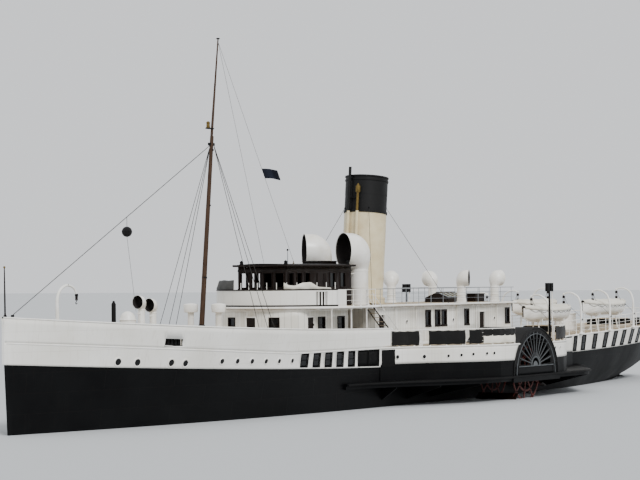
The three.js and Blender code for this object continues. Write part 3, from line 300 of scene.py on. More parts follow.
def smooth(tree, place, look):
    # A smooth finish with a little unevenness: window glass, oiled iron, brass, wire.
    first, second = linear(look["shade"]), linear(look["second"])
    uneven, shade = weathered(tree, place, first, second, look.get("grain", 6.0), 5, 0.35, 0.75)
    low, high = look["roughness"], look["roughness"] + 0.15
    rough = addNode(tree, "ShaderNodeMapRange", {0: uneven, 1: 0.3, 2: 0.8, 3: low, 4: high})
    return {"Base Color": shade, "Roughness": rough.outputs[0]}


lounge = {"half": 3.16, "aft": 8.9, "bend": 13.5, "round": 1.46}
steel = {"pattern": paintedSteel, "shade": "#f2f0ea", "second": "#dfdcd2", "stain": "#9c8d78", "fading": 0.5,
         "runs": 0.3, "roughness": 0.4, "laps": 0.14, "dents": 0.25}
boards = {"pattern": matchboard, "shade": "#efede6", "second": "#e0ddd2", "joint": "#8d8a80", "board": 0.15,
          "roughness": 0.38}
wood = {"pattern": varnished, "roughness": 0.5, "gloss": 0.15, "coat": 0.06, "coatRoughness": 0.2}
cloth = {"pattern": flaxWeave, "roughness": 0.92, "gloss": 0.2, "sheen": 0.1}
whiteSide = makeMaterial("whiteSideEnamel", **steel)
blackHull = makeMaterial(
    "blackHullEnamel",
    **{**steel, "shade": "#050506", "second": "#0c0d0e", "stain": "#191512", "fading": 0.8, "runs": 0.35,
       "roughness": 0.5, "laps": 0.3, "dents": 0.35, "gloss": 0.1},
)
whitePaint = makeMaterial(
    "whiteGlossEnamel", brushedEnamel, shade="#f3f1ec", second="#e2ded2", roughness=0.28
)
greyPaint = makeMaterial("greyGlossEnamel", brushedEnamel, shade="#8e9296", second="#7b7f83", roughness=0.35)
dimGrey = makeMaterial(
    "dimGreyEnamel", brushedEnamel, shade="#55585a", second="#45484a", roughness=0.5, gloss=0.3
)
houseBoards = makeMaterial("whiteMatchboard", **boards)
loungeBoards = makeMaterial("whiteRoundMatchboard", **boards, bend=lounge["bend"] * shipScale)
teakDeck = makeMaterial(
    "scrubbedTeakDeck", laidDeck, shade="#a08a6c", second="#b7a78c", grey="#8a8070", caulking="#15120f",
    roughness=0.75,
)
darkTeak = makeMaterial("varnishedDarkTeak", **wood, shade="#0d0603", second="#1c0f07")
mastPine = makeMaterial("varnishedMastPine", **wood, shade="#33241a", second="#4a3626")
funnelBuff = makeMaterial(
    "funnelBuffEnamel", brushedEnamel, shade="#d9cba8", second="#c9b891", roughness=0.35
)
funnelBlack = makeMaterial(
    "funnelBlackEnamel", brushedEnamel, shade="#060606", second="#100f0e", roughness=0.5, gloss=0.25
)
canvas = makeMaterial("proofedFlaxCanvas", **cloth, shade="#e3dfd3", second="#c6c0b0")
greyCanvas = makeMaterial("greyFlaxCanvas", **cloth, shade="#4a4a49", second="#383837")
# Near-black canvas; on the rail cloths it is also painted shade of the open deck behind the rails.
darkCanvas = makeMaterial("nearBlackFlaxCanvas", **cloth, shade="#0f0f0f", second="#181716")
bunting = makeMaterial("darkBunting", **cloth, shade="#1d2230", second="#121620")
signalBlack = makeMaterial("blackSignalCanvas", **cloth, shade="#0c0c0d", second="#171617")
# Window glass is near-black: painted shade of the dark rooms behind each pane, where real glass is clear.
glass = makeMaterial("darkWindowGlass", smooth, shade="#050607", second="#0b0d0f", roughness=0.08, gloss=0.3)
paleGlass = makeMaterial("paleSkylightGlass", smooth, shade="#b9c2c6", second="#9fa9ae", roughness=0.08)
iron = makeMaterial("blackedIron", smooth, shade="#070708", second="#100f0e", roughness=0.6, gloss=0.15)
brass = makeMaterial("tarnishedBrass", smooth, shade="#7f6a3a", second="#5d4c2a", roughness=0.3, metallic=0.9)
redLead = makeMaterial("redLeadPaint", smooth, shade="#5a1f16", second="#3b1510", roughness=0.6)
wire = makeMaterial("tarredWire", smooth, shade="#1b1a18", second="#2c2a26", roughness=0.7, grain=30)
# Cowl lining near-black: dark red-brown paint deepened into painted shade of the bell's hollow.
cowlLining = makeMaterial("darkCowlLining", smooth, shade="#120c0a", second="#1b110d", roughness=0.7)
print("materials")


# Meshes: a shape is its points and its faces, and a piece is made of rows of (material, shape, shape, ...).
def gridFaces(rows, columns, roundRows=False, roundColumns=False):
    # Four-sided faces between neighbours in a grid of points; a round direction joins its last to its first.
    i = np.arange(rows if roundRows else rows - 1)[:, None]
    j = np.arange(columns if roundColumns else columns - 1)[None, :]
    i2, j2 = (i + 1) % rows, (j + 1) % columns
    return np.stack(
        [i * columns + j, i * columns + j2, i2 * columns + j2, i2 * columns + j], -1
    ).reshape(-1, 4)


def surface(points, roundRows=False, roundColumns=False, keep=None):
    # A shape from a grid of points, with all of its faces or those to keep.
    faces = gridFaces(*points.shape[:2], roundRows, roundColumns)
    return points.reshape(-1, 3), [faces if keep is None else faces[keep.ravel()]]


def xyz(x, y, z):
    # Points from their three coordinates, as numbers or whole arrays.
    return np.stack(np.broadcast_arrays(x, y, z), -1).astype(float)


def arc(centre, radius, low, high, count, across=None):
    # Plan points round a centre, from one angle to another; across makes it an ellipse.
    angle = np.linspace(low, high, count)
    return np.column_stack(
        [centre[0] + radius * np.cos(angle), centre[1] + (across or radius) * np.sin(angle)]
    )


def repeated(shape, places):
    # The same shape again at each place.
    points, faces = shape
    places = np.atleast_2d(np.asarray(places, float))
    starts = np.arange(len(places))[:, None, None] * len(points)
    return (places[:, None] + points[None]).reshape(-1, 3), [(faces[0][None] + starts).reshape(-1, 4)]


def tubes(paths, radius, sides=8, level=None):
    # Rings round each path, centre + r (cos a side + sin a other), with side and other square to the path.
    paths = np.asarray(paths, float)
    paths = paths[None] if paths.ndim == 2 else paths
    count, steps = paths.shape[:2]
    radius = np.broadcast_to(np.asarray(radius, float), (count, steps))
    along = unit(np.gradient(paths, axis=1))
    chord = unit(paths[:, -1] - paths[:, 0])
    guess = np.where(np.abs(chord[:, 2:]) > 0.8, [[1.0, 0, 0]], [[0, 0, 1.0]])
    guess = guess[:, None] if level is None else np.array([[level]], float)
    side = unit(np.cross(along, np.broadcast_to(guess, along.shape)))
    other = np.cross(side, along)
    angle = np.linspace(0, tau, sides, endpoint=False)[:, None]
    ring = np.cos(angle) * side[:, :, None] + np.sin(angle) * other[:, :, None]
    points = paths[:, :, None] + radius[:, :, None, None] * ring
    starts = np.arange(count)[:, None, None] * steps * sides
    first = starts[:, 0] + np.arange(sides)
    quads = (gridFaces(steps, sides, roundColumns=True)[None] + starts).reshape(-1, 4)
    return points.reshape(-1, 3), [quads, first, first + (steps - 1) * sides]


def rods(starts, ends, radius, sides=8):
    # Straight tubes from each start to its end.
    return tubes(np.stack(np.broadcast_arrays(np.atleast_2d(starts), np.atleast_2d(ends)), 1), radius, sides)


def boxes(lows, highs):
    # Eight corners from each low and high corner, six faces.
    lows, highs = np.broadcast_arrays(*(np.atleast_2d(np.asarray(corner, float)) for corner in (lows, highs)))
    pick = np.array([[i, j, k] for i in (0, 1) for j in (0, 1) for k in (0, 1)])
    corners = np.where(pick[None] == 1, highs[:, None], lows[:, None])
    quads = np.array([[0, 1, 3, 2], [4, 6, 7, 5], [0, 4, 5, 1], [2, 3, 7, 6], [0, 2, 6, 4], [1, 5, 7, 3]])
    return corners.reshape(-1, 3), [(quads[None] + 8 * np.arange(len(lows))[:, None, None]).reshape(-1, 4)]


def prism(outline, low, high, axes=(0, 1, 2)):
    # A plan outline at two heights, with walls between and a lid on each; axes can stand it on edge.
    outline = np.asarray(outline, float)
    n = len(outline)
    points = np.concatenate([xyz(outline[:, 0], outline[:, 1], z) for z in (low, high)])
    return points[:, list(axes)], [
        gridFaces(2, n, roundColumns=True), np.stack([np.arange(n), np.arange(n) + n])
    ]


def sweep(path, profile, closed=False):
    # A profile (out, up) carried along a path: out is level and square to the path, on its left.
    path, profile = np.asarray(path, float), np.asarray(profile, float)
    along = np.roll(path, -1, 0) - np.roll(path, 1, 0) if closed else np.gradient(path, axis=0)
    left = unit(xyz(-along[:, 1], along[:, 0], 0))
    points = path[:, None] + profile[None, :, :1] * left[:, None] + profile[None, :, 1:] * upright
    n, m = len(path), len(profile)
    lids = [] if closed else [np.stack([np.arange(m), np.arange(m) + (n - 1) * m])]
    return points.reshape(-1, 3), [gridFaces(n, m, roundRows=closed, roundColumns=True), *lids]


def turned(profile, centre=(0, 0, 0), axis=(0, 0, 1), sides=24):
    # A profile (radius, height) about an axis: centre + height axis + radius (cos a side + sin a other).
    profile, axis = np.asarray(profile, float), unit(np.asarray(axis, float))
    side = unit(np.cross([1.0, 0, 0] if abs(axis[2]) > 0.9 else upright, axis))
    angle = np.linspace(0, tau, sides, endpoint=False)[:, None]
    ring = np.cos(angle) * side + np.sin(angle) * np.cross(axis, side)
    points = np.asarray(centre, float) + profile[:, None, 1:] * axis + profile[:, None, :1] * ring
    return surface(points, roundColumns=True)


def balls(centres, radius, sides=10):
    # Spheres from a half circle turned about the upright.
    return repeated(
        turned(arc((0, 0), radius, -math.pi / 2, math.pi / 2, sides // 2 + 1), sides=sides), centres
    )


def moved(parts, turn=np.eye(3), shift=(0, 0, 0)):
    # The same parts turned, then shifted.
    return [
        (material, *[(points @ turn + shift, faces) for points, faces in shapes])
        for material, *shapes in parts
    ]


def handed(parts, sign):
    # Parts drawn for the port side, on the side of that sign.
    return moved(parts, np.diag((1, sign, 1)))


def bothSides(*parts):
    # The same again with Y turned over, its faces run the other way round.
    mirror = [
        (
            material,
            *[(points * (1, -1, 1), [np.asarray(f)[:, ::-1] for f in faces]) for points, faces in shapes],
        )
        for material, *shapes in parts
    ]
    return [*parts, *mirror]


def makePiece(name, parts, body="ship", replaces=(), wall=0.0, crease=32, outward=True):
    # Joins the parts into one object; wall gives open skins their thickness.
    materials = list(dict.fromkeys(row[0] for row in parts))
    points, faces, picks, start = [], [], [], 0
    for material, *shapes in parts:
        for grid, polygonSets in shapes:
            points.append(grid)
            for polygons in polygonSets:
                faces += (np.asarray(polygons) + start).tolist()
                picks += [materials.index(material)] * len(polygons)
            start += len(grid)
    mesh = bpy.data.meshes.new(name)
    mesh.from_pydata((np.concatenate(points) * shipScale).tolist(), [], faces)
    mesh.polygons.foreach_set("material_index", picks)
    work = bmesh.new()
    work.from_mesh(mesh)
    bmesh.ops.remove_doubles(work, verts=work.verts, dist=1e-5)
    if outward and not wall:
        bmesh.ops.recalc_face_normals(work, faces=work.faces)
    work.to_mesh(mesh)
    work.free()
    mesh.polygons.foreach_set("use_smooth", [True] * len(mesh.polygons))
    mesh.set_sharp_from_angle(angle=math.radians(crease))
    for material in materials:
        mesh.materials.append(material)
    piece = addObject(name, mesh)
    if wall:
        thick = piece.modifiers.new("wall", "SOLIDIFY")
        thick.thickness = wall * shipScale
        thick.offset = 0
    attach(piece, body)
    if replaces:
        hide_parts(*replaces)
    return piece


def paintNode(name, material):
    # A CAD node keeps its shape and takes a better finish.
    node = frame["nodes"][name]
    node.data.materials.clear()
    node.data.materials.append(material)


# The ship's lines, the same as in the source of the solids.
lines = {"draught": 2.1, "bow": 37.3, "stern": -40.0, "half": 4.58, "loadHalf": 4.5, "promenade": 3.8,
         "ceiling": 6.4, "boatDeck": 6.5}
stationAt = np.array([
    -40, -39.7, -39, -37.8, -35.8, -33, -29.5, -26, -22, -18, -14, -8,
    6, 14, 17, 20.5, 24, 27.5, 30.5, 33, 35.2, 36.6, 37.3,
])


def ease(t):
    # A smooth step from 0 to 1, level at both ends: three squares less two cubes.
    t = np.clip(t, 0, 1)
    return t * t * (3 - 2 * t)


def stemX(z):
    # The stem leans forward in a straight line above the waterline, and falls away as a cube below it.
    return np.where(z > 0, 37.0 + 0.3 * z / 4.97, 37.0 - 1.5 * (np.maximum(0, -z) / lines["draught"]) ** 3)


def sternX(z):
    # The counter runs out 4 m aft by a power of the height, from 0.35 to 1.65 m above the waterline.
    return -36 - 4 * np.clip((z - 0.35) / 1.3, 0, 1) ** 0.8


def deckHalf(s):
    # The deck's half breadth: full amidships, one less a power to the stem, the root of that round the stern.
    fore = lines["half"] * (1 - np.clip((s - 14) / 23.3, 0, 1) ** 2.2)
    aft = lines["half"] * np.sqrt(1 - np.clip((-22 - s) / 18, 0, 1) ** 2.7)
    return np.where(s >= 0, fore, aft)


def sheer(s):
    # The deck's height: level amidships, rising by a power aft and in a straight line forward.
    aft, fore = np.maximum(0, -14 - s), np.maximum(0, s - 17)
    return lines["promenade"] + np.where(s < -14, 0.76 * (aft / 26) ** 1.15, 0.0575 * fore)


def deckTop(s):
    # The sheer as the solids have it, straight from each station to the next.
    return np.interp(s, stationAt, sheer(stationAt))


def bulwarkTop(s):
    # The bulwark's top: 5 m at its after end, rising by a power to 6.3 m at the stem.
    return 5.0 + 1.3 * np.clip((s - 5.6) / 31.8, 0, 1) ** 1.75


def paintLine(s):
    # The edge of the black: 2.45 m up amidships, rising by a power to the bow and by a square to the stern.
    return 2.45 + np.where(s > 0, 1.3 * (np.maximum(s, 0) / 37) ** 1.6, 0.75 * (s / 40) ** 2)


def side(s, z, grow=0.0):
    # The port side at length s and height z: a load line that closes by a power of v to each end, flared by a
    # power of the height up to the deck, and below it a section that is full amidships and sharp at the ends.
    s, z = np.broadcast_arrays(np.asarray(s, float), np.asarray(z, float))
    fore = s > 0
    v = np.where(fore, np.clip((s - 6) / 31.3, 0, 1), np.clip((-8 - s) / 32, 0, 1))
    x = s + v * np.where(fore, stemX(z) - stemX(deckTop(s)), sternX(z) + 40)
    load = lines["loadHalf"] * (1 - v ** np.where(fore, 1.9, 2.4))
    over = load + (deckHalf(s) - load) * (np.maximum(z, 0) / deckTop(s)) ** np.where(fore, 1.2, 1.2 - 0.7 * v)
    full, deep = 5 - 3.2 * v, np.maximum(-z, 0) / lines["draught"]
    under = np.maximum(0.12 * (1 - v), load * np.maximum(0, 1 - deep**full) ** (1 / full))
    return np.stack([x, np.maximum(np.where(z > 0, over, under), 0.06) + grow, z], -1)


def facing(s, z, step=0.02):
    # Outward normal of the port side, from two short steps along it.
    return unit(np.cross(side(s, z + step) - side(s, z), side(s + step, z) - side(s, z)))


def onDeck(x, y, lift=0.0):
    return np.array([x, y, deckTop(x) + lift])


def lengths(low, high, count, marks=()):
    # Stations closer together towards the ends, with every mark among them.
    spread = low + (high - low) * (1 - np.cos(np.linspace(0, math.pi, count))) / 2
    return np.unique(np.round(np.concatenate([spread, np.ravel(marks)]), 5))


def inSpans(at, spans):
    # True for each step between neighbours whose middle lies in one of the spans.
    middle, (low, high) = (at[:-1] + at[1:]) / 2, np.transpose(spans)
    return ((middle[:, None] > low) & (middle[:, None] < high)).any(1)


def makeHull():
    look = {"stations": 150, "under": 12, "over": 12}
    s = lengths(lines["stern"], lines["bow"], look["stations"])
    under = -lines["draught"] * np.cos(np.linspace(0, math.pi / 2, look["under"], endpoint=False))
    over = np.linspace(0, 1, look["over"]) * paintLine(s)[:, None]
    port = side(s[:, None], np.concatenate([np.broadcast_to(under, (len(s), len(under))), over], 1))
    ring = np.concatenate([port, port[:, ::-1] * (1, -1, 1)], 1)
    points, faces = surface(ring, roundColumns=True)
    # Strips from side to side close the two end rings.
    rows, columns = ring.shape[:2]
    i = np.arange(columns // 2 - 1)
    strip = np.stack([i, i + 1, columns - 2 - i, columns - 1 - i], -1)
    ends = np.concatenate([strip, strip + (rows - 1) * columns])
    makePiece(
        "hullSkin", [(blackHull, (points, [*faces, ends]))], replaces=["hull"], crease=50
    )


sideOpenings = {"windows": [15.705 - 1.27 * i for i in range(5)], "half": 0.375,
                "gangways": [(7.45, 9.9), (5.59, 7.15)], "low": 0.1, "high": 0.12}


def sideRows(s):
    # Rows of the white topsides: the paint line, the foot, thirds and head of the windows, the deck edge.
    low, high = paintLine(s) + sideOpenings["low"], deckTop(s) - sideOpenings["high"]
    third = (high - low) / 3
    return np.stack([paintLine(s), low, low + third, low + 2 * third, high, deckTop(s) - 0.02], -1)


def makeTopsides():
    # The white side, open at its windows and gangways, then a pane or dark panel, a frame and a bar in each.
    look = sideOpenings
    spans = [(x - look["half"], x + look["half"]) for x in look["windows"]] + look["gangways"]
    s = lengths(lines["stern"], lines["bow"], 150, spans)
    port = side(s[:, None], sideRows(s))
    keep = np.ones((len(s) - 1, port.shape[1] - 1), bool)
    keep[inSpans(s, spans), 1:4] = False
    ends = [surface(np.stack([port[i], port[i] * (1, -1, 1)])) for i in (0, -1)]
    skin = bothSides((whiteSide, surface(port, keep=keep))) + [(whiteSide, *ends)]
    makePiece(
        "topsideSkin", skin, replaces=["topsides", "topsides_aft"], wall=0.07, crease=50
    )

    parts = []
    for low, high in spans:
        u, v = np.linspace(low - 0.01, high + 0.01, 5), np.linspace(0, 1, 5)
        foot, head = sideRows(u)[:, [1]], sideRows(u)[:, [4]]
        z = foot + v * (head - foot)
        gangway = high - low > 1
        frame = side(u[:, None], z, 0.025)
        bar = tubes(frame[2], 0.02, 6) if gangway else tubes(frame[:, 2], 0.012, 6)
        parts.append((iron if gangway else glass, surface(side(u[:, None], z, -0.02))))
        # The black frame bars cover the jambs: partly frames, partly painted shade in each opening's recess.
        parts.append((iron, tubes(np.stack([frame[:, 0], frame[:, -1], frame[0], frame[-1]]), 0.022, 6), bar))
    makePiece("sideWindows", bothSides(*parts), wall=0.02, outward=False)


def porthole(centre, normal, radius):
    # A rim turned about the side's normal, and a pane set back in it.
    rim = np.array([(0.78, -0.02), (0.8, 0.035), (0.95, 0.045), (1.1, 0.03), (1.16, -0.02)]) * (radius, 1)
    pane = np.array([(0, 0.012), (0.8, 0.012), (0.8, -0.02), (0, -0.02)]) * (radius, 1)
    return [(whitePaint, turned(rim, centre, normal, 20)), (glass, turned(pane, centre, normal, 20))]


def makePortholes():
    forward = [
        (30.62, 3.72, 0.25), (29.34, 3.65, 0.25), (26.99, 3.55, 0.25), (25.96, 3.49, 0.24), (23.16, 3.5, 0.2),
        (21.9, 3.46, 0.2), (20.65, 3.41, 0.2), (19.41, 3.37, 0.19), (18.2, 3.34, 0.18), (16.95, 3.31, 0.18),
    ]
    parts = [row for s, z, radius in forward for row in porthole(side(s, z, 0.03), facing(s, z), radius)]
    makePiece("bowPortholes", bothSides(*parts))


def placed(shape, origin, along, outward):
    # A shape drawn as (along, outward, up) set at its place on the ship.
    return np.asarray(origin, float) + shape[0] @ np.array([along, outward, (0, 0, 1)], float), shape[1]


bulwark = {"aft": 5.4, "round": 0.8, "port": (26.4, 27.65), "rows": (0, 0.114, 0.42, 0.75, 1),
           "stays": (7.2, 35.6, 17)}


def capHeight(s):
    # The bulwark's top, with a quarter circle down at its after end.
    rise = np.sqrt(1 - (1 - np.clip((s - bulwark["aft"]) / bulwark["round"], 0, 1)) ** 2)
    return deckTop(s) + (bulwarkTop(s) - deckTop(s)) * (0.12 + 0.88 * rise)


def makeBulwark():
    corner = bulwark["aft"] + bulwark["round"] * (1 - np.cos(np.linspace(0, math.pi / 2, 9)))
    s = lengths(bulwark["aft"], lines["bow"], 110, [*bulwark["port"], *corner])
    port = side(
        s[:, None], deckTop(s)[:, None] + np.array(bulwark["rows"]) * (capHeight(s) - deckTop(s))[:, None]
    )
    keep = np.ones((len(s) - 1, len(bulwark["rows"]) - 1), bool)
    keep[inSpans(s, [bulwark["port"]]), 1] = False
    skin = bothSides((whiteSide, surface(port, keep=keep)))
    makePiece("bulwarkSkin", skin, replaces=["bulwark"], wall=0.07, crease=50)

    cap = sweep(
        side(s, capHeight(s)), [(-0.12, -0.04), (0.05, -0.04), (0.075, -0.01), (0.06, 0.035), (-0.11, 0.035)]
    )
    at = np.linspace(*bulwark["stays"])
    stays = rods(side(at, deckTop(at) + 0.01, -0.55), side(at, capHeight(at) - 0.1, -0.08), 0.03, 6)
    # The mooring port, drawn along the side from its after end: a frame of bars, rollers and a dark back.
    low, high = (side(x, 4.52) for x in bulwark["port"])
    along = unit(high - low)
    outward = (-along[1], along[0], 0)
    width, tall = np.linalg.norm(high - low), 0.39
    lows = [(-0.03, -0.06, -0.03), (-0.03, -0.06, tall), (-0.03, -0.06, 0), (width, -0.06, 0)]
    highs = [(width + 0.03, 0.04, 0), (width + 0.03, 0.04, tall + 0.03), (0, 0.04, tall),
             (width + 0.03, 0.04, tall)]
    spaced = np.linspace(0.12, width - 0.12, 5)
    rollers = rods(xyz(spaced, -0.14, 0), xyz(spaced, -0.14, tall), 0.11, 14)
    back = boxes([-0.15, -0.36, -0.1], [width + 0.15, -0.33, tall + 0.1])
    mooring = [placed(shape, low, along, outward) for shape in (boxes(lows, highs), rollers, back)]
    parts = bothSides((whitePaint, cap, stays), (iron, *mooring)) + [
        (whiteSide, boxes([37.16, -0.075, 3.8], [37.36, 0.075, 6.3])),
        (darkTeak, tubes([(37.18, 0, 6.1), (37.2, 0, 7.6), (37.22, 0, 8.93)], [0.05, 0.045, 0.03], 12)),
        (brass, balls([(37.22, 0, 8.96)], 0.065, 12)),
        (iron, turned([(0.0, 0), (0.09, 0), (0.09, 0.3), (0.05, 0.34)], (37.18, 0, 6.1), sides=14)),
    ]
    makePiece("bulwarkFittings", parts)


guardLines = {"guard": (11.3, -1, -13, -21), "house": (7.3, -2.5, -8.9, -19.3)}
wheelAt = {"x": -5.8, "z": 1.65, "radius": 3.15, "inner": 4.66, "outer": 8.75}


def guardHalf(which, x):
    # The sponson's half breadth, easing out from the ship's side and back, on the solids' own stations.
    fore, fullFore, fullAft, aft = guardLines[which]
    between = stationAt[(stationAt > aft) & (stationAt < fore)]
    at = np.unique(np.concatenate([np.linspace(aft, fullAft, 9), np.linspace(fullFore, fore, 9), between]))
    share = np.where(at > fullFore, (fore - at) / (fore - fullFore), (at - aft) / (fullAft - aft))
    return np.interp(x, at, lines["half"] + (wheelAt["outer"] - lines["half"]) * ease(share))


def boxReach(z):
    # Half the length of the paddle box at a height.
    return np.sqrt(np.maximum(wheelAt["radius"] ** 2 - (z - wheelAt["z"]) ** 2, 0))


def slab(x, inner, outer, top, thick):
    # Deck between two edges: a box section carried along the ship, with a lid on each end.
    low = top - thick
    ring = [xyz(x, y, z) for y, z in ((inner, top), (outer, top), (outer, low), (inner, low))]
    points, faces = surface(np.stack(ring, 1), roundColumns=True)
    n = len(points)
    return points, [*faces, np.array([[0, 1, 2, 3], [n - 1, n - 2, n - 3, n - 4]])]


def makeDeck():
    look = {"thick": 0.1, "edge": 0.045, "proud": 0.03}
    edgeRound = [
        (-0.02, -0.07), (0.03, -0.06), (0.06, -0.03), (0.07, 0), (0.06, 0.03), (0.03, 0.05), (-0.02, 0.05)
    ]
    s = lengths(-40, 37.25, 160)
    half = deckHalf(s) + 0.01
    parts = [(teakDeck, slab(s, -half, half, deckTop(s), look["thick"]))]
    reach = boxReach(lines["promenade"]) + 0.02
    for low, high in ((wheelAt["x"] + reach, 7.3), (-19.3, wheelAt["x"] - reach)):
        x = np.linspace(low, high, 40)
        wing = slab(x, 4.5, guardHalf("house", x) + look["proud"], deckTop(x), look["thick"])
        edge = sweep(xyz(x, guardHalf("house", x) + 0.02, deckTop(x) - look["edge"]), edgeRound)
        parts += bothSides((teakDeck, wing), (whitePaint, edge))
    for low, high in ((7.3, 37.2), (-39.98, -19.3)):
        s = lengths(low, high, 70)
        parts += bothSides((whitePaint, sweep(side(s, deckTop(s) - look["edge"]), edgeRound)))
    makePiece("promenadeDeck", parts, replaces=["promenade_deck", "foredeck"])


def makeDeckFittings():
    look = {"bollards": ((30.0, 1.9), (-33.6, 3.0)), "apart": 0.3, "stove": 28.2}
    bollard = [
        (0, 0), (0.16, 0), (0.16, 0.05), (0.11, 0.1), (0.11, 0.42), (0.15, 0.46), (0.15, 0.5), (0.1, 0.54),
        (0, 0.55),
    ]
    stove = [
        (0.2, -0.05), (0.2, 0.12), (0.13, 0.2), (0.13, 2.42), (0.1, 2.5), (0.07, 2.52), (0.07, 2.6),
        (0.0, 2.62),
    ]
    gear = []
    for x, y in look["bollards"]:
        gear += [turned(bollard, onDeck(x + sign * look["apart"], y, 0.03), sides=18) for sign in (1, -1)]
        gear.append(boxes(onDeck(x, y) - (0.55, 0.2, 0.02), onDeck(x, y) + (0.55, 0.2, 0.05)))
    makePiece(
        "deckFittings", bothSides((iron, *gear)) + [(iron, turned(stove, onDeck(look["stove"], 0), sides=20))]
    )


def makeSponsons():
    # White plating on the sponson's house, from the deck down to the black, fore and aft of the paddle box.
    look = {"low": 2.7, "high": 3.7, "proud": 0.014, "ends": (7.25, -19.25)}
    z = np.linspace(look["low"], look["high"], 7)
    shapes = []
    for sign, end in zip((1, -1), look["ends"]):
        near = wheelAt["x"] + sign * (boxReach(z) + 0.01)
        x = near + np.linspace(0, 1, 60)[:, None] * (end - near)
        shapes.append(surface(xyz(x, guardHalf("house", x) + look["proud"], z)))
    makePiece("sponsonPlating", bothSides((whiteSide, *shapes)), wall=0.02, crease=50)

    ports = [
        (5.75, 3.15, 0.16), (3.88, 3.12, 0.16), (2.37, 3.13, 0.12), (1.56, 3.16, 0.12), (0.79, 3.2, 0.12),
        (-0.14, 3.22, 0.12), (-0.72, 3.23, 0.12), (-8.55, 3.34, 0.12), (-9.38, 3.33, 0.12),
    ]
    parts = []
    for x, height, radius in ports:
        slope = (guardHalf("house", x + 0.2) - guardHalf("house", x - 0.2)) / 0.4
        parts += porthole(
            np.array([x, guardHalf("house", x) + 0.02, height]), unit(np.array([-slope, 1, 0])), radius
        )
    door = {"x": (5.92, 7.2), "low": 2.56, "high": 3.62}
    x, z = np.linspace(*door["x"], 13), np.linspace(door["low"], door["high"], 5)
    half = guardHalf("house", x)
    strip = tubes(xyz(x, half + 0.04, door["high"]), 0.025, 6)
    parts.append((iron, surface(xyz(x[:, None], half[:, None] + 0.03, z)), strip))
    x = np.linspace(-20.9, 11.2, 120)
    fender = [(-0.02, -0.07), (0.05, -0.05), (0.07, 0), (0.05, 0.05), (-0.02, 0.07)]
    parts.append((iron, sweep(xyz(x, guardHalf("guard", x) + 0.1, 1.57), fender)))
    makePiece("sponsonFittings", bothSides(*parts))


fan = {"x": -5.7, "z": 2.25, "radii": (0.02, 0.55, 0.85, 2.2), "slots": 13, "share": 0.62}


def makePaddleBox(name, sign):
    # A half drum with a flat face: between each pair of ribs the face has a slot that fans out from the hub.
    box, step = wheelAt, math.pi / fan["slots"]
    rim = arc((box["x"], box["z"]), box["radius"], 0, math.pi, 73)
    drum = np.stack([xyz(rim[:, 0], y, rim[:, 1]) for y in (box["inner"], box["outer"])], 1)
    middles = step * (np.arange(fan["slots"]) + 0.5)
    half = step * fan["share"] / 2
    turns = np.concatenate([[0, math.pi], middles - half, middles + half, np.linspace(0, math.pi, 40)])
    turns = np.unique(np.round(turns, 5))
    way = np.stack([np.cos(turns), np.sin(turns)], -1)
    offset = np.array([fan["x"] - box["x"], fan["z"] - box["z"]])
    along = way @ offset
    edge = -along + np.sqrt(along**2 + box["radius"] ** 2 - offset @ offset)
    radii = np.stack([*(np.full(len(turns), r) for r in fan["radii"]), edge], 1)[..., None]
    keep = np.ones((len(turns) - 1, 4), bool)
    keep[inSpans(turns, np.stack([middles - half, middles + half], 1)), 2] = False
    plan = (fan["x"], fan["z"]) + radii * way[:, None]
    face = surface(xyz(plan[..., 0], box["outer"], plan[..., 1]), keep=keep)
    z = np.linspace(box["z"], fan["z"], 4)
    panel = surface(xyz(box["x"] + np.linspace(-1, 1, 13)[:, None] * boxReach(z), box["outer"], z))
    back = surface(np.stack([xyz(rim[:, 0], box["inner"], z) for z in (rim[:, 1], box["z"])], 1))
    skins = handed([(funnelBlack, surface(drum), face), (blackHull, panel), (funnelBlack, back)], sign)
    makePiece("paddleBoxPlates" + name, skins, replaces=["paddle_box_" + name], wall=0.06)

    y = box["outer"] + 0.03
    parts = []
    # The middle arc and the ribs are dim grey, lighter than the black box: partly trim paint, partly a
    # painted highlight where they catch the light.
    for radius, width, material in (
        (3.12, 0.05, funnelBlack), (2.72, 0.028, dimGrey), (2.42, 0.03, funnelBlack)
    ):
        path = arc((box["x"], box["z"]), radius, 0, math.pi, 73)
        parts.append((material, tubes(xyz(path[:, 0], y, path[:, 1]), width, 8, level=(0, 1, 0))))
    heart = np.array([fan["x"], y, fan["z"]])
    ribs = step * np.arange(1, fan["slots"])
    way = xyz(np.cos(ribs), 0, np.sin(ribs))
    hub = np.array(
        [(0, 0.07), (0.2, 0.07), (0.26, 0.04), (0.3, 0), (0.5, 0), (0.55, 0.05), (0.6, 0.05), (0.62, -0.02)]
    )
    turn = np.linspace(0, math.pi, 21)
    dome = heart + xyz(hub[:, :1] * np.cos(turn), hub[:, 1:], hub[:, :1] * np.sin(turn))
    shelf = boxes(heart + (-2.5, -0.02, -0.06), heart + (2.35, 0.05, 0))
    # Ribs in dim grey: partly a painted highlight where they catch the light.
    parts.append((dimGrey, rods(heart + way * 0.5, heart + way * 2.25, 0.026, 6), surface(dome), shelf))
    spots = arc((box["x"], box["z"]), 2.92, 0.06, math.pi - 0.06, 48)
    parts.append((funnelBlack, balls(xyz(spots[:, 0], y - 0.01, spots[:, 1]), 0.035, 6)))
    makePiece("paddleBoxTrim" + name, handed(parts, sign))


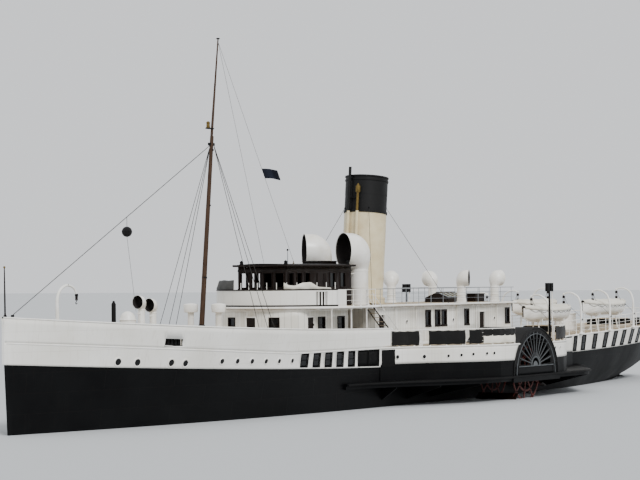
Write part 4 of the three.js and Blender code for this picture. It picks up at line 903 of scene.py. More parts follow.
def makeWheel(name, sign):
    # Nine floats on two rims, with arms from a boss at each frame and a stay ring nearer the axle.
    look = {"floats": 9, "inner": 5.17, "outer": 8.23, "rims": (1.8, 1.15), "frames": (5.4, 7.93)}
    centre = np.array([wheelAt["x"], 0, wheelAt["z"]])
    turn = np.linspace(0, tau, 64, endpoint=False)
    boss = [(0.21, -0.12), (0.5, -0.12), (0.52, -0.02), (0.4, 0.06), (0.34, 0.2), (0.21, 0.2)]
    rings, arms, bolts = [], [], []
    for y in look["frames"]:
        for radius in look["rims"]:
            square = [(-0.06, y), (0.06, y), (0.06, y + 0.06), (-0.06, y + 0.06)]
            ring = [
                xyz((radius + r) * np.cos(turn), across, (radius + r) * np.sin(turn)) for r, across in square
            ]
            rings.append(surface(centre + np.stack(ring, 1), roundRows=True, roundColumns=True))
        rings.append(turned(boss, centre + (0, y, 0), (0, 1, 0), 28))
        arms.append(boxes([0.36, y, -0.055], [2.3, y + 0.06, 0.055]))
        bolts.append(boxes([1.95, y - 0.05, -0.06], [2.52, y + 0.12, -0.035]))
        bolts.append(
            balls([(r, y + across, 0.04) for r in (2.08, 2.38) for across in (-0.02, 0.08)], 0.03, 6)
        )
    blade = boxes([1.97, look["inner"], -0.035], [2.59, look["outer"], 0.035])
    parts = [(redLead, *rings)]
    for angle in tau * np.arange(look["floats"]) / look["floats"]:
        c, s = math.cos(angle), math.sin(angle)
        spoke = [(redLead, *arms), (darkTeak, blade), (iron, *bolts)]
        parts += moved(spoke, np.array([[c, 0, s], [0, 1, 0], [-s, 0, c]]), centre)
    makePiece(
        "paddleWheel" + name, handed(parts, sign), body="paddles", replaces=["paddle_wheel_" + name],
    )


makeHull()
makeTopsides()
makePortholes()
makeBulwark()
makeDeck()
makeDeckFittings()
makeSponsons()
for name, sign in (("port", 1), ("stbd", -1)):
    makePaddleBox(name, sign)
    makeWheel(name, sign)
    paintNode("sponson_" + name, blackHull)
paintNode("rudder", blackHull)
paintNode("paddle_shaft", iron)
print("hull, topsides, deck, sponsons and wheels")


def pierced(path, low, high, holes, closed=True):
    # A wall on a plan path: columns at its corners and each hole's sides, rows at each hole's foot and head,
    # no face inside. A hole is ((x, y), width, foot, head), centred on the nearest point of the path.
    path = np.asarray(path, float)
    path = np.concatenate([path, path[:1]]) if closed else path
    steps = np.diff(path, axis=0)
    long = np.linalg.norm(steps, axis=1)
    run = np.concatenate([[0], np.cumsum(long)])

    def plan(at):
        return xyz(np.interp(at, run, path[:, 0]), np.interp(at, run, path[:, 1]), 0)

    spans, places = [], []
    for spot, width, foot, head in holes:
        share = np.clip(((np.asarray(spot) - path[:-1]) * steps).sum(1) / long**2, 0, 1)
        near = np.linalg.norm(path[:-1] + share[:, None] * steps - spot, axis=1).argmin()
        middle = run[near] + share[near] * long[near]
        spans.append((middle - width / 2, middle + width / 2, foot, head))
        start, end = plan(middle - width / 2), plan(middle + width / 2)
        places.append(((start + end) / 2, unit(end - start), width, foot, head))
    spans = np.array(spans)
    columns = np.unique(np.round(np.concatenate([run, spans[:, :2].ravel()]), 4))
    rows = np.unique(np.round(np.concatenate([[low, high], spans[:, 2:].ravel()]), 4))
    keep = np.ones((len(columns) - 1, len(rows) - 1), bool)
    for start, end, foot, head in spans:
        keep &= ~(inSpans(columns, [(start, end)])[:, None] & inSpans(rows, [(foot, head)]))
    return surface(plan(columns)[:, None] + rows[:, None] * upright, keep=keep), places


def window(place, look):
    # Two jambs, a head and a sill proud of the wall, glazing bars, and a pane or a door's leaf set back.
    middle, along, width, foot, head = place
    half, tall, bar, proud = width / 2, head - foot, look["bar"], look["proud"]
    lows = [(-half - bar, -0.06, -bar), (half - 0.01, -0.06, -bar), (-half, -0.06, tall - 0.01),
            (-half - bar, -0.06, -bar)]
    highs = [(-half + 0.01, proud, tall + bar), (half + bar, proud, tall + bar), (half, proud, tall + bar),
             (half + bar, proud + 0.03, 0.01)]
    for share in look.get("rails", ()):
        lows.append((-half, -0.05, tall * share - 0.02))
        highs.append((half, -0.01, tall * share + 0.02))
    rows = [(look["frame"], boxes(lows, highs))]
    if "filling" in look:
        material, back, front, gap = look["filling"]
        rows.append((material, boxes([-half, back, gap], [half, front, tall - gap])))
    return [(row[0], placed(row[1], middle + (0, 0, foot), along, (along[1], -along[0], 0))) for row in rows]


def mouldings(path, heights, profile, closed=True):
    # The same moulding carried round a plan path at each height.
    path = np.asarray(path, float)
    return [sweep(xyz(path[:, 0], path[:, 1], z), profile, closed) for z in heights]


# A pane of the near-black glass: painted shade of the room behind it.
pane = (glass, -0.045, -0.035, 0)
wallBand = [(0.02, -0.08), (-0.07, -0.08), (-0.07, 0.05), (-0.05, 0.08), (0.02, 0.08)]


def makeLounge():
    # Straight sides and a front that is half an ellipse, with six windows, two doorways and a shut door.
    half = lounge["half"]
    front = arc((lounge["bend"], 0), lounge["round"], -math.pi / 2, math.pi / 2, 49, across=half)
    path = np.concatenate([[(lounge["aft"], -half)], front, [(lounge["aft"], half)]])
    low, high = lines["promenade"], lines["ceiling"]
    windows = [((x, y), 0.7, 4.9, 5.8) for x in (9.7, 11.9) for y in (-half, half)]
    windows += [((14.79, y), 0.6, 4.9, 5.8) for y in (-1.63, 1.63)]
    doors = [((13.125, y), 0.65, 3.95, 5.85) for y in (-half, half)] + [((15.0, 0), 0.72, 3.95, 5.85)]
    skin, places = pierced(path, low, high, windows + doors)
    makePiece(
        "loungeWalls", [(loungeBoards, skin)], replaces=["lounge"], wall=0.08, crease=25
    )
    glazed = {"bar": 0.06, "proud": 0.07, "frame": darkTeak, "rails": (0.5,), "filling": pane}
    doorway = {"bar": 0.06, "proud": 0.07, "frame": whitePaint}
    looks = [glazed] * len(windows) + [doorway] * 2 + [{**doorway, "filling": (darkTeak, -0.05, 0, 0.02)}]
    parts = [row for place, look in zip(places, looks) for row in window(place, look)]
    makePiece("loungeTrim", [*parts, (whitePaint, *mouldings(path, (low + 0.1, high - 0.1), wallBand))])


def makeDeckhouse():
    # Each opening is its place along the house, its width, its foot and its head, and is cut on both sides.
    look = {
        "half": 3.36, "fore": 5.96, "aft": -12.06, "doors": [(5.2, 0.8, 3.95, 5.85), (-7.9, 0.8, 3.95, 5.85)],
        "windows": [(-0.6, 0.55, 5.05, 5.97), (-1.85, 0.55, 5.05, 5.97), (-2.7, 0.55, 5.05, 5.97),
                    (-5.76, 0.5, 5.05, 5.97), (-11.53, 0.5, 5.05, 5.97)],
        "lamps": (2.15, -9.6, -3.9), "pipes": (3.6, 1.0, -4.3, -7.0, -9.9),
    }
    half, fore, aft = look["half"], look["fore"], look["aft"]
    low, high = lines["promenade"], lines["ceiling"]
    path = [(aft, -half), (fore, -half), (fore, half), (aft, half)]
    holes = [((x, y), *size) for x, *size in look["doors"] + look["windows"] for y in (-half, half)]
    holes += [((aft, y), 0.8, 4.9, 5.9) for y in (-2.3, 0, 2.3)]
    skin, places = pierced(path, low, high, holes)
    replaced = ["deckhouse", "deckhouse_front"]
    makePiece("deckhouseWalls", [(houseBoards, skin)], replaces=replaced, wall=0.08)
    glazed = {"bar": 0.12, "proud": 0.05, "frame": darkTeak, "rails": (0.5,), "filling": pane}
    doorway = {"bar": 0.06, "proud": 0.065, "frame": whitePaint, "filling": (darkTeak, -0.08, -0.05, 0)}
    parts = [row for place in places for row in window(place, doorway if place[3] < 4 else glazed)]
    for x in look["lamps"]:
        parts += bothSides(*porthole(np.array([x, half + 0.04, 5.35]), np.array([0, 1, 0]), 0.13))
    pipes = rods(
        xyz(look["pipes"], half + 0.1, low + 0.05), xyz(look["pipes"], half + 0.1, high - 0.05), 0.035
    )
    parts += bothSides((whitePaint, pipes))
    parts.append((whitePaint, *mouldings(path, (low + 0.09, high - 0.1), wallBand)))
    makePiece("deckhouseTrim", parts)


bridge = {"centre": 10.4, "radius": 4.9, "half": 4.6, "screen": 4.84, "low": lines["boatDeck"], "high": 7.55}
bridgeEnd = math.asin(bridge["half"] / bridge["radius"])


def bridgeArc(radius, count=61, end=bridgeEnd):
    # The bridge's round front at a radius, from its starboard end to its port end.
    return arc((bridge["centre"], 0), radius, -end, end, count)


def ladder(foot, head, width, treads, rail):
    # Two strings and flat treads between them, with a handrail on stanchions at each side.
    foot, head = np.array(foot, float), np.array(head, float)
    across, top = np.array([0, width / 2, 0]), rail * upright
    strings = np.stack([np.stack([foot + hand * across, head + hand * across]) for hand in (-1, 1)])
    steps = foot + ((np.arange(treads) + 0.8) / (treads + 0.6))[:, None] * (head - foot)
    rails = []
    for hand in (-1, 1):
        base = foot + hand * across
        posts = base + np.array([0.15, 0.6, 0.97])[:, None] * (head - foot)
        rails += [
            rods(base + top * 0.9, head + hand * across + top, 0.022), rods(posts, posts + top * 0.95, 0.018)
        ]
    tread = boxes(steps - (0.11, width / 2, 0.018), steps + (0.11, width / 2, 0.018))
    return [(darkTeak, tubes(strings, 0.05, 4, level=(0, 1, 0))), (teakDeck, tread), (whitePaint, *rails)]


def makeBoatDeck():
    # Deck, edge moulding, beams under it, three posts a side, two ladders and a locker.
    look = {"aft": -12.25, "fore": 7.6, "half": 3.7, "posts": ((12.4, 4.3), (10.26, 4.35), (8.5, 4.35)),
            "beams": 1.3}
    aft, fore, half, wing, top = look["aft"], look["fore"], look["half"], bridge["half"], lines["boatDeck"]
    starboard = [(aft, -half), (fore, -half), (fore, -wing)]
    outline = np.concatenate(
        [starboard, bridgeArc(bridge["radius"]), [(fore, wing), (fore, half), (aft, half)]]
    )
    trim = [(0.0, -0.07), (-0.05, -0.07), (-0.07, -0.04), (-0.07, 0.03), (-0.05, 0.06), (0.0, 0.06)]
    post = [(0.12, 3.8), (0.12, 3.83), (0.055, 3.86), (0.05, 6.25), (0.1, 6.33), (0.1, 6.4)]
    x = np.arange(-11.5, 14.5, look["beams"])
    ahead = np.maximum(x - bridge["centre"], 0)
    under = np.minimum(wing - 0.1, np.sqrt(np.maximum((bridge["radius"] - 0.1) ** 2 - ahead**2, 0.1)))
    reach = np.where(x < fore, 3.6, under)
    beams = boxes(xyz(x - 0.04, -reach, 6.3), xyz(x + 0.04, reach, 6.41))
    parts = [
        (teakDeck, prism(outline, lines["ceiling"], top)),
        (whitePaint, *mouldings(outline, (6.45,), trim), beams),
    ]
    parts += bothSides((whitePaint, *(turned(post, (x, y, 0), sides=14) for x, y in look["posts"])))
    for sign in (1, -1):
        parts += ladder((4.35, sign * 4.01, 3.86), (7.7, sign * 4.01, 6.46), 0.56, 9, 0.85)
    locker = boxes([(-11.6, 0.35, top), (-11.65, 0.3, 7.05)], [(-10.3, 1.5, 7.05), (-10.25, 1.55, 7.1)])
    hinges = boxes([(-11.3, 0.31, 6.85), (-10.7, 0.31, 6.85)], [(-11.2, 0.35, 7.05), (-10.6, 0.35, 7.05)])
    makePiece("boatDeck", [*parts, (darkTeak, locker), (brass, hinges)], replaces=["boat_deck"])


def clothPatch(rows, columns, point):
    # A sheet of cloth as a grid of points worked out from two shares, 0 to 1.
    u, v = np.meshgrid(np.linspace(0, 1, rows), np.linspace(0, 1, columns), indexing="ij")
    return surface(point(u, v))


def makeBridgeScreen():
    look = {"slats": (0.9, 1.07), "slit": (0.13, 6.6, 7.42), "stanchions": 19, "stanchion": 1.5}
    radius, low, high, end = bridge["screen"], bridge["low"], bridge["high"], bridgeEnd
    start, stop = look["slats"]
    slats = arc((bridge["centre"], 0), radius, start + (stop - start) / 8, stop - (stop - start) / 8, 4)
    slits = [((x, sign * y), *look["slit"]) for x, y in slats for sign in (1, -1)]
    skin, _ = pierced(bridgeArc(radius), low, high, slits, closed=False)
    makePiece(
        "bridgeScreenPlates", [(whiteSide, skin)], replaces=["bridge_screen"], wall=0.05
    )
    rail = [(-0.05, -0.03), (0.05, -0.03), (0.07, 0), (0.05, 0.035), (-0.05, 0.035), (-0.07, 0)]
    foot = [(0.0, -0.05), (-0.05, -0.04), (-0.05, 0.04), (0, 0.05)]
    bands = mouldings(bridgeArc(radius), (high,), rail, closed=False)
    # The dark teak foot moulding is partly a painted shadow line along the foot of the screen.
    bands += mouldings(bridgeArc(radius + 0.02), (low + 0.06,), foot, closed=False)
    inner = bridgeArc(radius - 0.06, look["stanchions"], end - 0.03)
    inner = xyz(inner[:, 0], inner[:, 1], low)
    stanchions = rods(inner, inner + look["stanchion"] * upright, 0.022)
    makePiece("bridgeScreenRail", [(darkTeak, *bands), (whitePaint, stanchions)])

    def onScreen(angle, out, lift):
        return xyz(bridge["centre"] + out * np.cos(angle), out * np.sin(angle), high + 0.03 + lift)

    def white(u, v):
        # Cloth bunched along the rail: high at its fore end, a dip, a broad peak, then a low tail.
        head = np.interp(u, [0, 0.1, 0.22, 0.38, 0.55, 0.72, 1], [0.42, 0.26, 0.22, 0.4, 0.44, 0.14, 0.08])
        out = radius + 0.02 + 0.1 * np.sin(math.pi * v) * (0.6 + 0.4 * np.sin(24 * u))
        return onScreen(0.494 + 0.62 * u, out, head * v)

    def grey(u, v):
        # A standing weather cloth: it rises from the rail at its fore end and sags between its stanchions.
        sag = np.sin(3 * math.pi * u) ** 2
        head = 0.05 + 0.56 * ease(u / 0.45) - 0.03 * sag
        return onScreen(-0.98 + 0.72 * u, radius - 0.04 * v + 0.05 * np.sin(math.pi * v) * sag, head * v)

    dodgers = (("dodgerPort", white, canvas, 1.54, 0.25), ("dodgerStarboard", grey, greyCanvas, 1.78, 0.32))
    for name, point, material, wide, tall in dodgers:
        shape = clothPatch(49, 9, point)
        piece = makePiece(name, [(material, shape)], wall=0.012, outward=False)


def makeWheelhouse():
    look = {"aft": 6.44, "fore": 13.76, "half": 1.81, "top": 9.0, "roof": (6.25, 14.0, 2.03),
            "open": (11.4, 12.3, 13.2), "glazed": (7.4, 8.6), "front": (-1.35, -0.45, 0.45, 1.35)}
    aft, fore, half, front = look["aft"], look["fore"], look["half"], look["front"]
    path = [(aft, -half), (fore, -half), (fore, half), (aft, half)]
    glazed = [((x, y), 0.56, 7.7, 8.6) for x in look["glazed"] for y in (-half, half)]
    doors = [((9.95, y), 0.7, 6.62, 8.55) for y in (-half, half)]
    opened = [((x, y), 0.56, 7.7, 8.6) for x in look["open"] for y in (-half, half)]
    opened += [((fore, y), 0.66, 7.7, 8.6) for y in front]
    skin, places = pierced(path, lines["boatDeck"], look["top"], glazed + doors + opened)
    makePiece("wheelhouseWalls", [(darkTeak, skin)], replaces=["wheelhouse"], wall=0.08)
    frame = {"bar": 0.04, "proud": 0.06, "frame": darkTeak}
    looks = [{**frame, "filling": pane}] * 6 + [frame] * len(opened)
    parts = [row for place, each in zip(places, looks) for row in window(place, each)]
    rib = [(0.02, -0.05), (-0.06, -0.05), (-0.08, 0), (-0.06, 0.05), (0.02, 0.05)]
    x = np.array([6.95, 7.95, 8.05, 9.1, 10.8, 11.85, 12.75])
    panels = boxes(xyz(x - 0.25, 1.83, 6.72), xyz(x + 0.2, 1.87, 7.42))
    y = np.array(front)
    forePanels = boxes(xyz(13.78, y - 0.33, 6.72), xyz(13.83, y + 0.33, 7.42))
    parts.append((darkTeak, *mouldings(path, (6.6, 7.58, 8.75), rib), forePanels))
    parts += bothSides((darkTeak, panels))
    makePiece("wheelhouseJoinery", parts)

    # The roof: a cambered top, a flat ceiling, a moulding round both, lamps, a skylight and a pole.
    low, high, half = look["roof"]
    x, y = np.linspace(low, high, 33)[:, None], np.linspace(-half, half, 17)
    edge = [(0.02, -0.06), (-0.06, -0.05), (-0.08, 0.0), (-0.06, 0.07), (0.02, 0.07)]
    outline = [(low, -half), (high, -half), (high, half), (low, half)]
    lamp = [
        (0, 0), (0.13, 0), (0.13, 0.05), (0.1, 0.08), (0.1, 0.16), (0.13, 0.18), (0.06, 0.24), (0.03, 0.27),
        (0, 0.28),
    ]
    lamps = [turned(lamp, (*at, 9.13), sides=16) for at in ((13.6, -1.7), (13.6, 1.7), (6.6, 1.7))]
    hatch = boxes([(6.4, -0.7, 9.1), (6.33, -0.77, 9.34)], [(8.2, 0.7, 9.34), (8.27, 0.77, 9.39)])
    parts = [
        (darkCanvas, surface(xyz(x, y, 9.11 + 0.09 * (1 - (y / half) ** 2)))),
        (whitePaint, surface(xyz(x, y, 9.01))),
        (darkTeak, *mouldings(outline, (9.06,), edge), hatch),
        (iron, *lamps, balls([(10.95, 0, 10.08)], 0.07, 10)),
        (greyPaint, tubes([(10.95, 0, 9.15), (10.95, 0, 9.6), (10.95, 0, 10.05)], [0.03, 0.025, 0.02], 10)),
    ]
    makePiece("wheelhouseRoof", parts, replaces=["wheelhouse_roof"])
    for door in ("wheelhouse_door_port", "wheelhouse_door_stbd", "lounge_door_port", "lounge_door_stbd"):
        paintNode(door, darkTeak)


def makeFunnel():
    look = {"base": 2.4, "top": 1.55, "height": 15.05, "radius": 1.42, "band": 12.6, "guy": 0.35}
    radius, rise = look["radius"], look["height"] - lines["boatDeck"]
    foot = np.array([look["base"], 0, lines["boatDeck"]])
    axis = unit(np.array([look["top"] - look["base"], 0, rise]))
    hand = np.array([axis[2], 0, -axis[0]])
    length = math.hypot(rise, look["base"] - look["top"])
    band = (look["band"] - lines["boatDeck"]) / rise * length

    def seams(low, high):
        # Plate courses: each about 1.2 m tall, the upper one lapped 6 mm outside the lower.
        heights = np.linspace(low, high, max(2, round((high - low) / 1.2)) + 1)
        rows = [
            ((a, b - 0.005), radius + 0.006 * (i % 2))
            for i, (a, b) in enumerate(zip(heights[:-1], heights[1:]))
        ]
        return [(out, height) for ends, out in rows for height in ends]

    def pipe(y, low, high, wide):
        at = foot + hand * (radius + 0.14) + (0, y, 0)
        return rods(at + axis * low, at + axis * high, wide, 16)

    shoe = [(radius + 0.14, 0.0), (radius + 0.14, 0.48), (radius + 0.02, 0.55)]
    lip = [(radius + 0.05, length - 0.1), (radius + 0.06, length - 0.02), (radius + 0.03, length),
           (radius - 0.05, length), (radius - 0.07, length - 0.3), (radius - 0.07, 2)]
    hoops = []
    for height in (band, length - 2.4, length - 0.3):
        hoop = [(0, -0.06), (0.045, -0.05), (0.05, 0.05), (0, 0.06)]
        hoops.append(turned(np.array(hoop) + (radius, height), foot, axis, 64))
    whistle = [(0.0, 0), (0.14, 0), (0.17, 0.08), (0.17, 0.42), (0.1, 0.5), (0.05, 0.6), (0, 0.62)]
    whistle = turned(whistle, foot + hand * (radius + 0.14) + (0, 0.35, 0) + axis * 7.35, axis, 20)
    at = foot + np.array([1.5, 4.5, 7])[:, None] * axis + hand * (radius + 0.05)
    pale = turned(shoe + seams(0.6, band - 0.02), foot, axis, 64)
    black = turned(seams(band, length - 0.12) + lip, foot, axis, 64)
    parts = [
        (funnelBuff, pale, pipe(-0.35, 0.3, band, 0.1), pipe(0.35, 0.3, band, 0.1)),
        (funnelBlack, black, *hoops, pipe(-0.35, band, length + 0.5, 0.1)),
        (brass, pipe(0.35, band, 7.4, 0.09), whistle),
        (iron, boxes(at - (0.06, 0.45, 0.03), at + (0.09, 0.45, 0.03))),
    ]
    makePiece("funnelPlates", parts, replaces=["funnel"], crease=40)

    out = radius + 0.03
    lugs = foot + axis * (band + look["guy"]) + [
        (x * out, y * out, 0) for x in (0.75, -0.75) for y in (0.66, -0.66)
    ]
    feet = [(6.2, 3.3, 6.52), (6.2, -3.3, 6.52), (-3.2, 3.45, 6.52), (-3.2, -3.45, 6.52)]
    makePiece(
        "funnelGuys", [(wire, rods(lugs, feet, 0.014, 6)), (iron, balls(lugs, 0.06, 8), balls(feet, 0.05, 8))]
    )


makeLounge()
makeDeckhouse()
makeBoatDeck()
makeBridgeScreen()
makeWheelhouse()
makeFunnel()
print("houses, bridge and funnel")


def pieceName(node):
    # A piece that stands for one node takes its name without the underlines.
    return "".join(word.capitalize() for word in node.split("_"))


def curve(points, count):
    # A smooth path through points: cubics whose slope at each point is half the step between its neighbours.
    points = np.asarray(points, float)
    ends = np.concatenate([2 * points[:1] - points[1:2], points, 2 * points[-1:] - points[-2:-1]])
    at = np.linspace(0, len(points) - 1 - 1e-9, count)
    i = at.astype(int)
    t = (at - i)[:, None]
    a, b, c, d = ends[i], ends[i + 1], ends[i + 2], ends[i + 3]
    return 0.5 * (2 * b + (c - a) * t + (2 * a - 5 * b + 4 * c - d) * t**2 + (3 * b - a - 3 * c + d) * t**3)


# Each ventilator's place, the radii of its trunk and its mouth, the height of its head, where it faces.
vents = {
    "cowl_bridge_port": (4.95, 1.5, 0.6, 1.15, 11.2, -30),
    "cowl_bridge_stbd": (4.95, -1.5, 0.6, 1.15, 11.2, -47),
    "cowl_engine_fore_stbd": (-5.95, -2.88, 0.3, 0.55, 8.75, -147),
    "cowl_engine_fore_port": (-5.95, 2.88, 0.3, 0.55, 8.75, 113),
    "cowl_engine_aft_stbd": (-11.15, -2.59, 0.3, 0.55, 8.75, -110),
    "cowl_engine_aft_port": (-11.15, 2.59, 0.3, 0.55, 8.75, 160),
    "cowl_foredeck_fore": (25.7, 0, 0.2, 0.38, 7.34, 0),
    "cowl_foredeck_aft": (24.65, 0, 0.2, 0.38, 7.15, 0),
}


def makeCowl(name, x, y, trunk, mouth, head, faces):
    # Rings swing a quarter circle about the trunk's front edge and widen to a bell, then run back inside.
    foot = deckTop(x) if x > 15 else lines["boatDeck"]
    throat, lip, sides = 0.12 * mouth, 0.45 * mouth, 40
    neck = head - foot - 2 * mouth - throat
    turn = np.linspace(0, tau, sides, endpoint=False)

    def rings(share, inset):
        share = share[:, None]
        radius = trunk + (mouth - trunk) * ease(share)
        reach = radius + throat * share + (radius - inset) * np.sin(turn)
        swing = math.pi / 2 * share
        return xyz(
            trunk - reach * np.cos(swing), (radius - inset) * np.cos(turn), neck + reach * np.sin(swing)
        )

    def bellEnd(inset, reach):
        wide = (mouth - inset)[:, None]
        return xyz(trunk + reach[:, None], wide * np.cos(turn), neck + mouth + throat + wide * np.sin(turn))

    share, roll = np.linspace(0, 1, 18), np.linspace(0, math.pi, 7)
    rolled = bellEnd(-0.028 * mouth * np.sin(roll) - 0.01, lip - 0.02 + 0.03 * mouth * (1 - np.cos(roll)) / 2)
    outer = np.concatenate([rings(share, 0), rolled])
    inner = np.concatenate([bellEnd(np.array([0.03]), np.array([lip])), rings(share[::-1][:14], 0.05)])
    pipe = np.array([(0.09, 0), (0.09, 0.05), (0.03, 0.07), (0.02, 0.3), (0, 0.32), (0, neck)]) + (trunk, 0)
    band = np.array([(0, -0.04), (0.02, -0.03), (0.02, 0.03), (0, 0.04)])
    bands = [turned(band + (trunk, height), sides=sides) for height in (neck * 0.5, neck - 0.02)]
    grip = [(trunk * 0.8, -0.5), (trunk + 0.12, -0.3), (trunk + 0.12, 0.3), (trunk * 0.8, 0.5)]
    grip = curve([(out, across * trunk, neck * 0.9) for out, across in grip], 12)
    bell, lining = (surface(rows, roundColumns=True) for rows in (outer, inner))
    parts = [
        (whitePaint, turned(pipe, sides=sides), bell, *bands, tubes(grip, 0.018 + 0.01 * mouth)),
        # The lining and the disc deep in its throat are near-black: partly paint, partly painted shade inside
        # the bell.
        (cowlLining, lining, (inner[-1], [np.arange(sides)[None]])),
    ]
    c, s = math.cos(math.radians(faces)), math.sin(math.radians(faces))
    parts = moved(parts, np.array([[c, s, 0], [-s, c, 0], [0, 0, 1]]), (x, y, foot))
    makePiece(pieceName(name), parts, replaces=[name], outward=False)


def makeHeadedVents():
    # Two trunks with a drum on top, each one turned profile.
    look = {"x": 19.7, "y": 1.05}
    profile = [
        (0.27, 0), (0.27, 0.06), (0.2, 0.1), (0.19, 0.2), (0.19, 2.25), (0.22, 2.3), (0.4, 2.31),
        (0.42, 2.34), (0.44, 2.74), (0.43, 2.78), (0.38, 2.81), (0.1, 2.85), (0, 2.855),
    ]
    for name, sign in (("headed_vent_port", 1), ("headed_vent_stbd", -1)):
        shape = turned(profile, onDeck(look["x"], sign * look["y"]), sides=32)
        makePiece(pieceName(name), [(whitePaint, shape)], replaces=[name])


mast = {
    "foot": 20.15, "hounds": (18.83, 0, 16.45), "top": (18.14, 0, 22.86), "truck": (18.14, 0, 22.71),
    "stem": (36.6, 0, 6.3), "ball": (26.97, 0, 11.0), "halyard": (11.6, 0.9, 9.35),
    "bands": ((0.015, 0.22), (0.12, 0.19), (0.35, 0.165), (0.7, 0.145), (0.97, 0.135)),
}


def makeMast():
    foot = np.array([mast["foot"], 0, deckTop(mast["foot"])])
    hounds, top, stem, ball = (np.array(mast[name], float) for name in ("hounds", "top", "stem", "ball"))
    lower = tubes(np.linspace(foot, hounds + 0.45 * upright, 9), np.linspace(0.17, 0.11, 9), 20)
    upper = tubes(np.linspace(hounds + (0.13, 0, -0.35), top, 7), np.linspace(0.09, 0.04, 7), 16)
    ring = np.array([(-0.04, -0.05), (0, -0.04), (0, 0.04), (-0.04, 0.05)])
    rise = hounds - foot
    bands = [turned(ring + (wide, 0), foot + share * rise, rise, 20) for share, wide in mast["bands"]]
    truck = turned([(0, 0), (0.1, 0), (0.12, 0.03), (0.1, 0.07), (0, 0.08)], top, sides=16)
    lows = [hounds + (-0.22, -0.05, -0.12), (18.72, -0.1, 17.33), stem + (-0.08, -0.05, 0)]
    highs = [hounds + (0.35, 0.05, 0.05), (19.35, 0.1, 17.4), stem + (0.08, 0.05, 0.12)]
    coat = turned([(0.3, 0), (0.3, 0.05), (0.24, 0.12), (0.22, 0.25), (0.17, 0.27)], foot)
    lamp = [
        (0.0, 0.0), (0.13, 0), (0.13, 0.05), (0.11, 0.07), (0.11, 0.27), (0.14, 0.29), (0.07, 0.38), (0, 0.4)
    ]
    block = [(0, 0), (0.06, 0), (0.06, 0.03), (0.03, 0.05), (0.03, 0.16), (0, 0.17)]

    # Three shrouds a side, each with its bottle screw and chain plate.
    x, hand = np.repeat([19.4, 18.4, 17.6], 2), np.tile([1, -1], 3)
    chains = xyz(x, hand * 4.22, deckTop(x) + 0.03)
    aloft = hounds + xyz(0, hand * 0.1, 0)
    screws = chains + (aloft - chains) * 0.075
    swell = np.stack([chains + (screws - chains) * share for share in (0, 0.3, 0.35, 0.9, 1)], 1)
    plates = repeated(turned([(0, 0), (0.09, 0), (0.09, 0.03), (0, 0.04)], sides=12), chains - 0.03 * upright)

    # The forestay, the signal ball slung from it and its downhaul, and the halyards.
    bow = stem + 0.1 * upright
    slung = hounds + (ball[0] - hounds[0]) / (stem[0] - hounds[0]) * (bow - hounds)
    thin = rods([ball - 0.3 * upright, mast["halyard"], (12.3, -0.9, 9.25)],
                [(26.2, 0, deckTop(26.2) + 2.1), mast["truck"], mast["truck"]], 0.01, 5)
    hoop = turned([(0.3, -0.012), (0.312, 0), (0.3, 0.012)], ball)
    parts = [
        (mastPine, lower, upper),
        (
            iron, *bands, truck, boxes(lows, highs), tubes(swell, [0.022, 0.022, 0.045, 0.045, 0.02]), plates,
            hoop,
        ),
        (whitePaint, coat),
        (brass, turned(lamp, (19.2, 0, 17.4), sides=16), turned(block, (11.6, 0.9, 9.19), sides=12)),
        (wire, rods(aloft, screws, 0.018, 6), rods(bow, hounds, 0.02, 6), rods(ball, slung, 0.014, 6), thin),
        (signalBlack, turned(arc((0, 0), 0.3, -math.pi / 2, math.pi / 2, 19), ball)),
    ]
    makePiece("mastAndRigging", parts, replaces=["mast"])


def makeFlag():
    look = {"low": 14.5, "high": 15.1, "reach": 0.96, "away": (-0.56, 0.83, 0), "wide": 0.53}
    foot, top, away = (np.array(point, float) for point in (mast["halyard"], mast["truck"], look["away"]))
    sideways = np.array([away[1], -away[0], 0])

    def cloth(u, v):
        # Out from the halyard by u, up it by v: the free end droops, and a wave grows towards it.
        u, v = u[..., None], v[..., None]
        height = look["low"] + (look["high"] - look["low"]) * v
        on = foot + (height - foot[2]) / (top[2] - foot[2]) * (top - foot)
        wave = 0.11 * u**0.8 * np.sin(6.5 * u + 1.4 * v)
        drop = -0.1 * u**1.6 + 0.03 * u * np.sin(5 * u)
        return on + (0.01 + look["reach"] * u) * away + wave * sideways + drop * upright

    shape = clothPatch(41, 21, cloth)
    flag = makePiece(
        "signalFlag", [(bunting, shape)], replaces=["flag"], wall=0.008, outward=False
    )


def makeAnchorDavit():
    look = {"x": 33.0, "head": (-1.6, 0, 2.7), "thick": (0.11, 0.085, 0.055), "steps": 60}
    at = onDeck(look["x"], 0)
    head = at + look["head"]
    path = [
        (0, 0, 0.05), (0, 0, 1.6), (0, 0, 2.5), (-0.25, 0, 3.0), (-0.8, 0, 3.25), (-1.35, 0, 3.1),
        (-1.6, 0, 2.75),
    ]
    radius = np.interp(np.linspace(0, 1, look["steps"]), [0, 0.4, 1], look["thick"])
    foot = turned([(0, 0), (0.2, 0), (0.2, 0.04), (0.13, 0.08), (0.13, 0.5), (0.1, 0.52)], at)
    hook = curve([(0, 0, -0.28), (0.0, 0, -0.36), (0.07, 0, -0.42), (0.02, 0, -0.5), (-0.06, 0, -0.44)], 16)
    parts = [
        (whitePaint, tubes(curve(path, look["steps"]) + at, radius, 16), foot),
        (iron, balls([head], 0.1, 12), tubes(hook + head, 0.02)),
        (darkTeak, boxes(head + (-0.07, -0.04, -0.3), head + (0.07, 0.04, -0.06))),
    ]
    makePiece("anchorDavit", parts, body="anchor_davit", replaces=["anchor_davit"])


